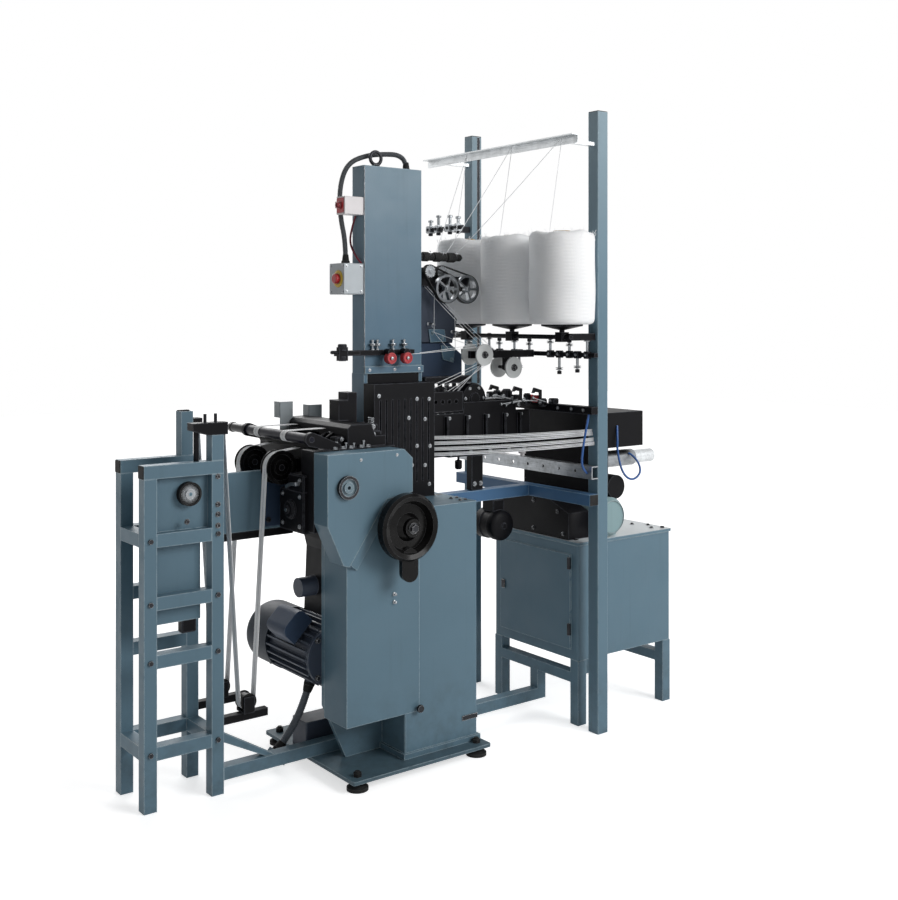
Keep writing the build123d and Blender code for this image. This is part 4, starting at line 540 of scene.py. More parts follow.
def piece(name, shape, finish, body="machine", covers=()):
    """Makes a piece from a shape, with its finish, on the body that it moves with."""
    bmesh.ops.recalc_face_normals(shape, faces=shape.faces)
    mesh = bpy.data.meshes.new(name)
    shape.to_mesh(mesh)
    shape.free()
    mesh.shade_smooth()
    mesh.set_sharp_from_angle(angle=math.radians(40))
    mesh.materials.append(finishes[finish])
    made = bpy.data.objects.new(name, mesh)
    scene.collection.objects.link(made)
    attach(made, body)
    if covers:
        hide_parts(*covers)
    return made


def paint_faces(node, finish, chosen):
    """Gives another finish to the faces of a solid that a rule chooses by place and direction."""
    mesh = nodes[node].data
    mesh.materials.append(finishes[finish])
    shift = Vector((corner.x, corner.y, 0.0))
    for face in mesh.polygons:
        if chosen((face.center - shift) / mm, face.normal):
            face.material_index = len(mesh.materials) - 1


# Zipper tapes: woven strips with thick edges and a row of chain elements, over the rollers
tape_width, tape_thick, tape_gap = 30.0, 1.6, 0.3
tape_lift = tape_gap + tape_thick / 2
tape_edge, tape_web, tape_rim = 1.5, 0.45, 0.7
chain_pitch, chain_width, chain_length = 3.2, 7.0, 1.9
wheel_tread, pulley_tread = 48.0, 24.0


def touch(first, first_r, first_turn, second, second_r, second_turn):
    """Where a straight run leaves one round and meets the next, seen from the front."""
    way = second - first
    lean = math.asin((first_turn * first_r - second_turn * second_r) / way.length)
    heading = math.atan2(way.y, way.x) + lean
    side = Vector((math.sin(heading), -math.cos(heading)))
    return first + side * first_turn * first_r, second + side * second_turn * second_r


def round_it(centre, start, end, steps=18):
    """Places round a roller from one touching place to the next."""
    first = math.atan2(start.y - centre.y, start.x - centre.x)
    turn = (math.atan2(end.y - centre.y, end.x - centre.x) - first + math.pi) % math.tau - math.pi
    radius = (start - centre).length
    angles = [first + turn * step / steps for step in range(steps + 1)]
    return [centre + Vector((math.cos(a), math.sin(a))) * radius for a in angles]


def from_front(node):
    """A solid's middle, seen from the front."""
    place = middle(node)
    return Vector((place.x, place.z))


roller = from_front("guide_roller")
wheel = from_front("tape_wheel_front")
pulley = from_front("return_pulley_front")
roller_tread = (seat("guide_roller")[1].z - seat("guide_roller")[0].z) / 2
roller_run, wheel_run, pulley_run = (tread + tape_lift for tread in (roller_tread, wheel_tread, pulley_tread))
takeoff_side, tape_foot_x = 59.9, -298.0
tape_foot = Vector((tape_foot_x, seat("zipper_tapes")[1].z))
roller_in = roller + Vector((0, roller_run))
nip_r, nip_away = 8.5, Vector((36.0, -29.5))
nip = roller + nip_away
nip_run = nip_r + tape_lift
roller_out, nip_in = touch(roller, roller_run, 1, nip, nip_run, -1)
nip_out, wheel_in = touch(nip, nip_run, -1, wheel, wheel_run, 1)
wheel_out, pulley_in = touch(wheel, wheel_run, 1, pulley, pulley_run, -1)
pulley_out, foot_in = touch(pulley, pulley_run, -1, tape_foot, 0, 1)
tape_route = (
    [Vector((takeoff_side, roller_in.y))] + round_it(roller, roller_in, roller_out)
    + round_it(nip, nip_in, nip_out) + round_it(wheel, wheel_in, wheel_out)
    + round_it(pulley, pulley_in, pulley_out, 30) + [foot_in])


def along(route, pitch):
    """Places at an even pitch along a route, each with the direction of its run."""
    found, spare = [], 0.0
    for first, last in zip(route, route[1:]):
        way = (last - first).normalized()
        reach = spare
        while reach < (last - first).length:
            found.append((first + way * reach, way))
            reach += pitch
        spare = reach - (last - first).length
    return found


half_width = tape_width / 2
tape_section = [
    (-half_width, -tape_rim), (tape_edge - half_width, -tape_web), (half_width - tape_edge, -tape_web),
    (half_width, -tape_rim), (half_width, tape_rim), (half_width - tape_edge, tape_web),
    (tape_edge - half_width, tape_web), (-half_width, tape_rim)]
woven, chain, nip_roller = blanks(3)
for tape_node in ("tape_wheel_front", "tape_wheel_rear"):
    tape_y = middle(tape_node).y
    swept(woven, [at(spot.x, tape_y, spot.y) for spot in tape_route], tape_section, back)
    for spot, way in along(tape_route, chain_pitch):
        run = Vector((way.x, 0, way.y))
        rise = run.cross(back)
        middle_spot = at(spot.x, tape_y, spot.y)
        bar = [middle_spot + (back * u + run * v) * mm
               for u, v in flat_bar(chain_width / 2, chain_length / 2)]
        low = [chain.verts.new(spot - rise * tape_thick / 2 * mm) for spot in bar]
        high = [chain.verts.new(spot + rise * tape_thick / 2 * mm) for spot in bar]
        chain.faces.new(low[::-1])
        chain.faces.new(high)
        walls(chain, low, high)
nip_front, nip_long = 150.0, 370.0
nip_end = [(5, 0), (5, 6), (nip_r - 0.6, 7), (nip_r, 8)]
stepped(nip_roller, at(nip.x, nip_front, nip.y), back,
        nip_end + [(radius, nip_long - reach) for radius, reach in nip_end[::-1]])
piece("woven_tapes", woven, "zipper_tape", covers=["zipper_tapes"])
piece("chain_elements", chain, "chain_nylon")
piece("nip_roller", nip_roller, "black_rubber")

# Warp bands: yarns side by side from the healds to the creel
band_yarns, band_width, band_yarn_r, band_sag = 5, 10.0, 0.95, 5.0
band_start_x, band_start_y = seat("heald_housing")[0].x + 249.75, 268.0
band_starts = (1034.0, 1014.4, 994.8, 975.2)
band_end_x = seat("creel_posts")[0].x - 0.75
band_ends = ((-55.5, 1055.8), (-58.0, 1046.0), (-63.0, 1026.4), (-66.5, 1012.7))


def sagging(first, last, drop, steps=10):
    """Places along a run held at its two ends, which hangs a little."""
    shares = [step / steps for step in range(steps + 1)]
    return [first.lerp(last, share) + down * 4 * drop * share * (1 - share) * mm for share in shares]


def strands(shape, runs, drop, radius=0.9):
    """Adds threads along runs, each from one place to another."""
    for first, last in runs:
        wire(shape, sagging(at(*first), at(*last), drop), radius, 6)


warp = bmesh.new()
for start_z, (end_y, end_z) in zip(band_starts, band_ends):
    for number in range(band_yarns):
        lift = band_width * (number / (band_yarns - 1) - 0.5)
        wire(warp, sagging(at(band_start_x, band_start_y, start_z + lift),
                           at(band_end_x, end_y, end_z + lift), band_sag + number % 2), band_yarn_r, 6)
piece("warp_bands", warp, "white_yarn")

# Yarn packages: wound round a tube, with soft shoulders and loose fibres at the top
package_low, package_high = seat("yarn_packages")
package_x = middle("yarn_packages").x
package_r = (package_high.x - package_low.x) / 2
package_ys = [package_low.y + package_r + share * (package_high.y - package_low.y - 2 * package_r)
              for share in (0.0, 0.5, 1.0)]
package_tall = package_high.z - package_low.z
package_rows, package_sides = 84, 112
shoulder, tuck_share, top_drop = 20.0, 0.8, 8.0
core_r, core_wall, core_end = 31.0, 3.0, 4.0
winding_depth, winding_turns, winding_inset = 0.7, 26, 3.2
swell_middle, swell_round = 1.6, 0.9
core_dips = (2.0, -9.0)
fibres, fibre_r, fibre_rise = 70, 0.45, 15.0
fibre_drop, fibre_band, fibre_inset, fibre_bow, fibre_lean = 12.0, 46.0, 9.0, (5, 12), (-14, 14)


def wound_package(shape, x, y, seed):
    """Adds one package, whose winding crosses at a low angle and whose top is a little uneven."""
    rings = []
    for row in range(package_rows + 1):
        share = row / package_rows
        loop = []
        for step in range(package_sides):
            angle = math.tau * step / package_sides
            uneven = 3.0 * math.sin(3 * angle + seed) + 2.0 * math.sin(7 * angle + 2 * seed)
            top = package_tall - top_drop + uneven
            rise = share * top
            from_end = min(rise, top - rise)
            tuck = shoulder * (1 - math.sqrt(max(0.0, 1 - (1 - min(1.0, from_end / shoulder)) ** 2)))
            cross = (abs(math.sin(winding_turns * share * math.pi + 3 * angle))
                     + abs(math.sin(winding_turns * share * math.pi - 3 * angle)))
            swell = (swell_middle * math.sin(math.pi * share)
                     + swell_round * math.sin(2 * angle + 9 * share + seed))
            radius = package_r - winding_inset - tuck_share * tuck + winding_depth * cross + swell
            loop.append(shape.verts.new(at(
                x + radius * math.cos(angle), y + radius * math.sin(angle), package_low.z + rise)))
        rings.append(loop)
    for low, high in zip(rings, rings[1:]):
        walls(shape, low, high)
    for loop, dip in zip((rings[0], rings[-1]), core_dips):
        inner = [shape.verts.new(at(x + u, y + v, 0) + up * (vert.co.z + dip * mm))
                 for (u, v), vert in zip(ring(core_r, package_sides), loop)]
        walls(shape, loop, inner)


def loose_fibres(shape, x, y):
    """Adds short curled fibres that stand off the shoulder of a package."""
    for _ in range(fibres):
        angle = chance.uniform(0, math.tau)
        out = Vector((math.cos(angle), math.sin(angle), 0.0))
        level = package_high.z - fibre_drop - chance.uniform(0, fibre_band) * chance.random()
        start = at(x, y, level) + out * (package_r - fibre_inset) * mm
        bow, lean = chance.uniform(*fibre_bow), chance.uniform(*fibre_lean)
        side = Vector((-out.y, out.x, 0.0))
        curl = [start + (out * bow * math.sin(math.pi * 0.55 * share) + side * lean * share
                         + up * fibre_rise * share) * mm for share in (0.0, 0.25, 0.5, 0.75, 1.0)]
        wire(shape, curl, fibre_r, 4)


packages, fluff, cores = blanks(3)
for number, package_y in enumerate(package_ys):
    wound_package(packages, package_x, package_y, 1.7 * number)
    loose_fibres(fluff, package_x, package_y)
    turned(cores, at(package_x, package_y, package_low.z), up, [
        (core_r - core_wall, core_end), (core_r + 0.5, core_end), (core_r + 0.5, package_tall - core_end),
        (core_r - 1, package_tall - core_end / 2), (core_r - core_wall, package_tall - core_end),
        (core_r - core_wall, core_end)], 40)
piece("wound_packages", packages, "wound_yarn", covers=["yarn_packages"])
piece("package_fluff", fluff, "white_yarn")
piece("package_tubes", cores, "paper_tube")

# Yarn threads from the packages over the top bar to the feeder, then past the discs to the comb
thread_r = 1.0
thread_from_x, guide_bar_x, guide_bar_z = 777.5, 835.0, 2075.0
feed_rod_y, feed_rod_z = 352.5, 1674.9
comb_y, comb_z = 279.0, 1191.2
thread_feeds = (656.0, 613.0, 570.0)
thread_arms = (531.0, 543.0, 555.0)
thread_discs = (710.0, 731.0, 752.0)
thread_combs = (615.0, 592.5, 570.0)
arm_y, arm_z = 365.5, 1563.0
disc_y, disc_top, disc_under = 239.0, 1334.0, 1306.0
threads = bmesh.new()
for number, package_y in enumerate(package_ys):
    runs = (
        ((thread_from_x, package_y, package_high.z - 6), (guide_bar_x, package_y, guide_bar_z), 3.0),
        ((guide_bar_x, package_y, guide_bar_z), (thread_feeds[number], feed_rod_y, feed_rod_z), 6.0),
        ((thread_arms[number], arm_y, arm_z), (thread_discs[number], disc_y, disc_top), 4.0),
        ((thread_discs[number], disc_y, disc_under), (thread_combs[number], comb_y, comb_z), 3.0),
    )
    for first, last, drop in runs:
        strands(threads, ((first, last),), drop, thread_r)
piece("fine_threads", threads, "white_yarn", covers=["yarn_threads"])

# Flexible conduits, air tubes and the switch cable, each on one smooth line


def smooth_line(name, route, fineness=48):
    """Places read from a smooth line whose control places are the route's."""
    data = bpy.data.curves.new(name, "CURVE")
    data.dimensions = "3D"
    line = data.splines.new("NURBS")
    line.points.add(len(route) - 1)
    for point, place in zip(line.points, route):
        point.co = (*place, 1.0)
    line.order_u = 3
    line.use_endpoint_u = True
    line.resolution_u = fineness
    holder = bpy.data.objects.new(name, data)
    scene.collection.objects.link(holder)
    read = bpy.data.meshes.new_from_object(holder)
    places = [vert.co.copy() for vert in read.vertices]
    bpy.data.objects.remove(holder)
    bpy.data.curves.remove(data)
    bpy.data.meshes.remove(read)
    return places


def sleeve(shape, place, way, radius):
    """Adds a gland nut with a tapered sleeve, where a hose leaves a housing."""
    turned(shape, place, way, [
        (0.9 * radius, -2), (1.6 * radius, -2), (1.6 * radius, 9), (1.45 * radius, 11),
        (1.1 * radius, 11)], 6)
    turned(shape, place, way, [
        (0.9 * radius, 9), (1.35 * radius, 9), (1.3 * radius, 16), (1.08 * radius, 32),
        (0.9 * radius, 32)], 22)


def hose(name, route, diameter, finish, pitch=0, depth=0.0, covers=(), glands=True):
    """A hose, ribbed where it has a pitch, that goes back into the machine."""
    places = smooth_line(name + "_line", route)
    shape = bmesh.new()
    reach = [0.0]
    for first, last in zip(places, places[1:]):
        reach.append(reach[-1] + (last - first).length / mm)

    def section_at(number):
        wave = 0.5 + 0.5 * math.cos(math.tau * reach[number] / pitch) if pitch else 1.0
        return ring(diameter / 2 - depth * (1 - wave), 20)

    swept(shape, places, section_at)
    made = piece(name, shape, finish, covers=covers)
    ends = []
    if glands:
        nuts = bmesh.new()
        sleeve(nuts, places[0], places[3] - places[0], diameter / 2)
        sleeve(nuts, places[-1], places[-4] - places[-1], diameter / 2)
        ends = [piece(name + "_glands", nuts, "black_rubber")]


hose("motor_hose", [at(48, 344, 251), at(21, 344, 176), at(-22, 344, 108), at(-74, 344, 50)],
     26.0, "grey_hose", pitch=6.0, depth=1.6, covers=["motor_conduit"])
tower_hose_y = 364.5
hose("tower_hose", [at(x, tower_hose_y, z) for x, z in (
    (451.31, 1965), (450, 2001), (418, 2021), (370, 2020), (285, 2009), (207, 1975), (176, 1895),
    (178, 1795), (200, 1707), (200, 1633.14))],
     18.0, "dark_hose", pitch=4.5, depth=1.3, covers=["tower_conduit"])
hose("air_tube_front", [at(930, -60, 1115), at(918, -60, 1070), at(905, -60, 1015), at(895, -60, 960),
                        at(899, -60, 928), at(921, -60, 910)],
     8.0, "blue_tube", glands=False)
hose("air_tube_unit", [at(1196, 64, 1051), at(1187, 53, 1008), at(1182, 50, 958), at(1206, 46, 872),
                       at(1259, 44, 842), at(1312, 48, 872), at(1304, 70, 925), at(1290, 96, 940)],
     8.0, "blue_tube", glands=False)
hose("switch_cable", [at(228, 346, 1796), at(223, 358, 1762), at(222, 375, 1710), at(222, 345, 1668),
                      at(222, 312, 1640), at(226, 306, 1633)],
     7.0, "red_cable", glands=False)


# Other finishes on parts of the solids
lid_top = seat("cabinet_box")[1].z
red_knob_from, feed_plate_from, gearmotor_end, drum_from = 320.0, 368.0, 1330.0, 11.0
drum_y, drum_z, drum_reach = 263.0, 589.0, 42.0
disc_hub_r, wheel_hub_r, cap_shadow_ring_r = 12.0, 22.0, 27.0
disc_nodes = ("disc_spindle_upper", "disc_spindle_lower")


def paint_round(node, finish, radius, inside):
    """Gives another finish to the faces of a round solid that lie inside or outside a radius."""
    line = middle(node)
    paint_faces(node, finish, lambda spot, way: (
        math.hypot(spot.x - line.x, spot.z - line.z) < radius) == inside)


paint_faces("cabinet_box", "lid_enamel", lambda spot, way: spot.z > lid_top - 1 and way.z > 0.9)
paint_faces("tension_knobs", "white_plastic", lambda spot, way: spot.y < red_knob_from)
paint_faces("feeder_bracket", "motor_enamel", lambda spot, way: spot.y > feed_plate_from)
paint_faces("gearmotor", "satin_aluminium", lambda spot, way: spot.x > gearmotor_end)
paint_faces("head_frame", "motor_enamel", lambda spot, way: spot.x < drum_from and max(
    abs(spot.z - drum_z), abs(spot.y - drum_y)) < drum_reach)
paint_round("delivery_wheel", "black_rubber", wheel_hub_r, inside=False)
# Black outer ring on the bearing cap: painted shadow round the cap
paint_round("bearing_cap", "black_steel", cap_shadow_ring_r, inside=False)
for disc_node in disc_nodes:
    paint_round(disc_node, "black_steel", disc_hub_r, inside=True)

# Screws and bolts on the painted sheets, and plugs in the tubes
cover_face, casing_face, heald_face, lip_face, stand_face = (
    seat(node)[0].y for node in ("head_cover", "belt_casing", "heald_housing", "tower", "delivery_posts"))
column_top = seat("pedestal_column")[1].z
cover_screws = ((45, 1013), (180, 1019))
lip_screws = ((250, 1274), (352, 1274), (455, 1274))
heald_screws = ((372, 1111), (440, 1104), (406, 1174), (457, 1172), (406, 1014), (461, 1010), (385, 950),
                (440, 946), (250, 1190), (262, 905), (458, 880))
column_screws = ((483, 96), (505, 96), (483, 146), (507, 146))
stand_bolts = ((-325, 969), (-325, 884), (-325, 854), (-325, 820), (-426, 842))
screws, bolts = blanks(2)
cap_screws(screws, on_front(cover_face, *cover_screws), front, 3.2)
cap_screws(screws, on_front(lip_face, *lip_screws), front, 3.5)
cap_screws(screws, on_front(heald_face, *heald_screws), front, 4.2)
cap_screws(bolts, on_top(column_top, *column_screws), up, 5.0)
for place in on_front(stand_face, *stand_bolts):
    hex_bolt(bolts, place, front, 12.0)
piece("sheet_screws", screws, "machined_steel")
piece("frame_bolts", bolts, "black_steel")

plug_lip, plug_soft = 3.0, 1.2
post_half, tube_half = 25.0, 20.0
creel_post_x, creel_post_ys = 976.0, (-58.0, 645.0)
rail_ys = (276.0, 455.0)
tall_post_x, tall_plug_ys = -343.0, (456.0, 474.0)
table_rail_side = 40.0
creel_top, posts_top = seat("creel_posts")[1].z, seat("delivery_posts")[1].z
rail_left, rail_top = seat("delivery_rails")[0].x, seat("delivery_rails")[1].z
table_low, table_high = seat("table_rails")
plugs = bmesh.new()
for y in creel_post_ys:
    box(plugs, (creel_post_x - post_half + 1, y - post_half + 1, creel_top),
        (creel_post_x + post_half - 1, y + post_half - 1, creel_top + plug_lip), plug_soft)
for y in rail_ys:
    box(plugs, (rail_left - plug_lip, y - tube_half + 1, rail_top - 2 * tube_half + 1),
        (rail_left, y + tube_half - 1, rail_top - 1), plug_soft)
box(plugs, (tall_post_x - tube_half + 1, tall_plug_ys[0], posts_top),
    (tall_post_x + tube_half - 1, tall_plug_ys[1], posts_top + plug_lip), plug_soft)
box(plugs, (table_high.x - table_rail_side + 1, table_low.y - plug_lip, table_low.z + 1),
    (table_high.x - 1, table_low.y, table_high.z - 1), plug_soft)
piece("tube_plugs", plugs, "black_rubber")

# Column top slots, oil nipples, casing knob and latch
slot_ys, slot_depth = (233, 286, 338), 20
slot_left, slot_right = 478, 513
nipple_x, nipple_zs = 187, (575, 550)
casing_knob = (280, 196)
latch_low, latch_high = (463, 57, 113), (527, 60, 129)
fittings, nipples = blanks(2)
for y in slot_ys:
    box(fittings, (slot_left, y, column_top), (slot_right, y + slot_depth, column_top + 1.5), 0.5)
turned(fittings, *on_front(casing_face, casing_knob), front, [
    (0, 0), (5, 0), (5, 8), (12, 10), (13, 16), (11, 20), (0, 21)], 20)
box(fittings, latch_low, latch_high, 0.8)
for z in nipple_zs:
    stepped(nipples, at(nipple_x, casing_face, z), front, [
        (6, 0), (6, 3), (3.5, 4), (3.5, 8), (4.5, 9), (4.5, 11), (2, 13)], 14)
piece("column_fittings", fittings, "black_steel")
piece("oil_nipples", nipples, "machined_steel")

# Boxes on the tower: red switch plate and its knob, lid screws, collar of the stop button
button, switch_middle = middle("stop_button"), middle("switch_box")
control_low, control_high = seat("control_box")
switch_low, switch_high = seat("switch_box")
plate_thick, plate_margin = 3, 5
lid_inset, side_inset, lid_screw_r = 9, 10, 3.0
grip_from, grip_to, grip_half, grip_tall = 20, 15, 2.5, 11
button_hole_r = 18.2
red_plate, switch_knob, box_screws, collar = blanks(4)
box(red_plate, (switch_low.x - plate_thick, switch_low.y + plate_margin, switch_low.z + plate_margin),
    (switch_low.x, switch_high.y - plate_margin, switch_high.z - plate_margin), 1.2)
stepped(switch_knob, at(switch_low.x - plate_thick, switch_middle.y, switch_middle.z), left, [
    (13, 0), (13, 3), (10, 4), (9, 12), (7.5, 14)], 28)
box(switch_knob, (switch_low.x - grip_from, switch_middle.y - grip_half, switch_middle.z - grip_tall),
    (switch_low.x - grip_to, switch_middle.y + grip_half, switch_middle.z + grip_tall), 1.2)
for y in (control_low.y + lid_inset, control_high.y - lid_inset):
    for z in (control_low.z + lid_inset, control_high.z - lid_inset):
        cap_screw(box_screws, at(control_low.x, y, z), left, lid_screw_r)
for x in (control_low.x + side_inset, control_high.x - side_inset):
    for z in (control_low.z + side_inset, control_high.z - side_inset):
        cap_screw(box_screws, at(x, control_low.y, z), front, lid_screw_r)
turned(collar, at(control_low.x, button.y, button.z), left, [
    (button_hole_r, 0), (29, 0), (29, 2), (27.5, 3), (button_hole_r, 3), (button_hole_r, 0)], 40)
piece("switch_plate", red_plate, "red_plastic")
piece("switch_knob", switch_knob, "dark_red_plastic")
piece("box_screws", box_screws, "machined_steel")
piece("stop_collar", collar, "yellow_plastic")

# Tension bar in front of the tower: red knobs, disc posts, clamp with its rod
bar_z, bar_top, bar_under = 1333.0, 1342.0, 1324.0
bar_face, block_face, clamp_y = 284.0, 276.0, 275.0
red_knobs, knob_z = (312.0, 378.0), bar_z - 19.0
knob_front, knob_long = 271.0, 23.0
disc_posts, disc_post_y = (262.0, 281.0, 345.0, 392.0), 292.0
clamp_x, clamp_rod_x = 131.0, 114.0
knobs, posts, bar_clamp = blanks(3)
for x in red_knobs:
    box(bar_clamp, (x - 9, block_face, knob_z - 12), (x + 9, bar_face, bar_z + 4), 1.5)
    stepped(posts, at(x, block_face, knob_z), front, [(5, -2), (5, 6)], 16)
    knurled(knobs, at(x, knob_front, knob_z), front, 20.0, knob_long)
    stepped(posts, at(x, knob_front - knob_long, knob_z), front, [(6, 0), (6, 2), (3, 4)], 16)
for x in disc_posts:
    stepped(posts, at(x, disc_post_y, bar_top), up, [
        (7, 0), (7, 4), (3, 5), (3, 12), (12, 14), (12.5, 16), (4, 17.5), (12.5, 19), (12, 21),
        (4, 22), (3, 28), (5, 29), (5, 33), (3, 35)], 22)
knurled(bar_clamp, at(clamp_x, clamp_y, bar_top), up, 15.0, 22.0, 22)
knurled(bar_clamp, at(clamp_x, clamp_y, bar_under), down, 13.0, 16.0, 20)
turned(bar_clamp, at(clamp_rod_x, clamp_y, bar_z + 4), left, [
    (0, -2), (6, -2), (6, 24), (4.5, 27), (0, 28)], 16)
box(bar_clamp, (150, 280, 1326), (205, 286, 1341), 1.0)
piece("tension_red_knobs", knobs, "red_plastic")
piece("tension_posts", posts, "machined_steel")
piece("tension_clamp", bar_clamp, "black_enamel")

# Feeder: rollers and eyes on the thread rod, and nuts and caps that turn with their wheels
rod_y, rod_z = 352.5, 1667.9
feed_rollers = ((486, 15.0, 22), (512, 17.0, 26), (542, 14.0, 16), (562, 17.5, 30), (596, 15.0, 20),
                (622, 18.0, 34), (660, 13.0, 22))
feed_eyes, feed_eye_r = (536, 590, 652), 8
hub_nuts = {"feeder_wheel_left": 17.0, "feeder_wheel_right": 17.0,
            "feeder_gear_left": 13.0, "feeder_gear_right": 13.0}
main_axle = (194, 796)
rollers, eyes = blanks(2)
for x, radius, length in feed_rollers:
    knurled(rollers, at(x, rod_y, rod_z), right, radius, length, 20)
for x in feed_eyes:
    turned(eyes, at(x, rod_y, rod_z), right, [(6, 0), (11, 0), (11, 5), (6, 5)], 18)
    wire(eyes, [at(x + 2, rod_y - 10 - feed_eye_r * math.sin(a), rod_z + 12 + feed_eye_r * math.cos(a))
                for a in (math.tau * step / 12 for step in range(11))], 1.4, 6)
piece("feed_rollers", rollers, "black_rubber")
piece("feed_eyes", eyes, "machined_steel")
for wheel_node, nut_size in hub_nuts.items():
    nut, spot = bmesh.new(), middle(wheel_node)
    hex_bolt(nut, at(spot.x, seat(wheel_node)[0].y, spot.z), front, nut_size)
    piece(wheel_node + "_nut", nut, "machined_steel", wheel_node)
for disc_node in disc_nodes:
    cap, spot = bmesh.new(), middle(disc_node)
    turned(cap, at(spot.x, seat(disc_node)[0].y, spot.z), front, [
        (0, 0), (13, 0), (13, 2), (9, 4), (9, 10), (6, 14), (0, 15)], 24)
    piece(disc_node + "_cap", cap, "black_steel", disc_node)
hub = bmesh.new()
hex_bolt(hub, *on_front(seat("main_shaft")[0].y - 0.2, main_axle), front, 24.0)
piece("handwheel_nut", hub, "black_steel", "main_drive")

# Plates under the feeder, with blue brackets, and threads down from its wheels
sheet_thick = (0, 6, 0)
guide_face, bracket_face = 369, 363
guide_outline = ((474, 1232), (474, 1364), (640, 1364), (704, 1316), (704, 1232))
bracket_outlines = (((549, 1410), (621, 1409), (628, 1364), (557, 1362)),
                    ((605, 1352), (668, 1344), (662, 1288), (613, 1300)))
bracket_screws = ((566, 1396), (610, 1378), (622, 1336), (652, 1300))
feeder_runs = (((557, 340, 1548), (563, 350, 1400)), ((657, 352, 1508), (664, 356, 1336)),
               ((563, 350, 1400), (628, 352, 1340)), ((566, 350, 1398), (655, 246, 1352)))
guide_plate, brackets, feeder_threads = blanks(3)
plate(guide_plate, on_front(guide_face, *guide_outline), sheet_thick)
for outline in bracket_outlines:
    plate(brackets, on_front(bracket_face, *outline), sheet_thick)
cap_screws(brackets, on_front(bracket_face, *bracket_screws), front, 4.5)
strands(feeder_threads, feeder_runs, 1.5)
piece("guide_plate", guide_plate, "navy_enamel")
piece("guide_brackets", brackets, "tower_enamel")
piece("feeder_threads", feeder_threads, "white_yarn")

# Black strips for painted shade: in the gap beside the tower's front sheet, and in the slot in the rear creel
# post
seam_out, seam_in = 0.6, 0.4
tower_seam_foot, post_slot_foot = 1266, 1190
tower_low, tower_high = seat("tower")
post_low, post_high = seat("creel_posts")
post_side = post_high.x - post_low.x
seam_shade = bmesh.new()
box(seam_shade, (tower_low.x - seam_out, tower_low.y + 4, tower_seam_foot),
    (tower_low.x + seam_in, tower_low.y + 8, tower_high.z - 4), 0.2)
box(seam_shade, (post_low.x + 0.52 * post_side, post_high.y - post_side - seam_out, post_slot_foot),
    (post_low.x + 0.8 * post_side, post_high.y - post_side + seam_in, post_high.z - 2), 0.2)
piece("seam_shade_strips", seam_shade, "black_steel")

# Threads from the tension bar past the discs
tension_runs = (((392, 250, 1327), (640, 205, 1348)), ((436, 262, 1330), (662, 210, 1360)),
                ((474, 262, 1212), (652, 212, 1288)), ((474, 270, 1196), (690, 214, 1292)))
tension_threads = bmesh.new()
strands(tension_threads, tension_runs, 2.0)
piece("tension_threads", tension_threads, "white_yarn")

# Thread eyes on the feeder plate
eye_places, eye_r = ((551, 369, 1429), (657, 369, 1400)), 7
thread_eyes = bmesh.new()
for x, y, z in eye_places:
    stepped(thread_eyes, at(x, y, z), front, [(6, 0), (6, 3), (3, 5), (3, 30)], 14)
    wire(thread_eyes, [at(x + eye_r * math.cos(a), y - 32, z - 6 + eye_r * math.sin(a))
                       for a in (math.tau * step / 14 for step in range(13))], 1.3, 6)
piece("thread_eyes", thread_eyes, "machined_steel")

# Working parts on the head: clamp lever, nuts, springs, levers and two folded sensor plates
head_top = 1040.0
nut_spots = tuple((x, 124) for x in (9, 39, 68, 106, 132))
lever_pivot = (113, 1056)
lever_line = (lever_pivot, (140, 1070), (186, 1097))
head_blocks = ((30, 150, 46, 40, 34), (150, 150, 52, 44, 46), (190, 200, 34, 60, 62),
               (60, 300, 70, 60, 40), (150, 380, 60, 70, 36), (40, 420, 60, 50, 44))
rocker_ys = (215, 250)
rocker_outline = ((10, head_top), (70, head_top), (96, 1082), (200, 1096), (204, 1106), (88, 1098),
                  (36, 1070))
spring_screws = ((172, 150, 1074), (204, 200, 1094), (52, 150, 1066))
sensor_plates = ((24, 50, 1165.0), (137, 52, 1150.0))
plate_front, flange_depth, flange_tall, fold = 500.0, 42.0, 54, 3
lever, works, springs, folded = blanks(4)
for place in on_top(head_top, *nut_spots):
    hex_bolt(lever, place, up, 14.0)
swept(lever, on_front(200, *lever_line), flat_bar(5, 9), back)
stepped(lever, *on_front(190, lever_pivot), back, [(15, 0), (15, 20)], 28)
stepped(works, at(113, 180, head_top), up, [(20, 0), (20, 8), (10, 10), (10, 30)], 24)
for x, y, wide, deep, tall in head_blocks:
    box(works, (x, y, head_top), (x + wide, y + deep, head_top + tall), 3.0)
for y in rocker_ys:
    plate(works, on_front(y, *rocker_outline), (0, 9, 0))
spring(springs, at(60, 240, 1074), at(150, 240, 1102), 8.0, 1.4, 12)
spring(springs, at(176, 172, 1086), at(176, 172, 1128), 9.0, 1.5, 7)
cap_screws(springs, [at(*spot) for spot in spring_screws], front, 4.5)
for x, wide, top in sensor_plates:
    box(folded, (x, plate_front, head_top), (x + wide, plate_front + fold, top), 0.8)
    box(folded, (x, plate_front + fold, top - flange_tall), (x + fold, plate_front + flange_depth, top), 0.8)
piece("clamp_lever", lever, "machined_steel")
piece("head_works", works, "black_enamel")
piece("head_springs", springs, "machined_steel")
piece("sensor_plates", folded, "pale_enamel")

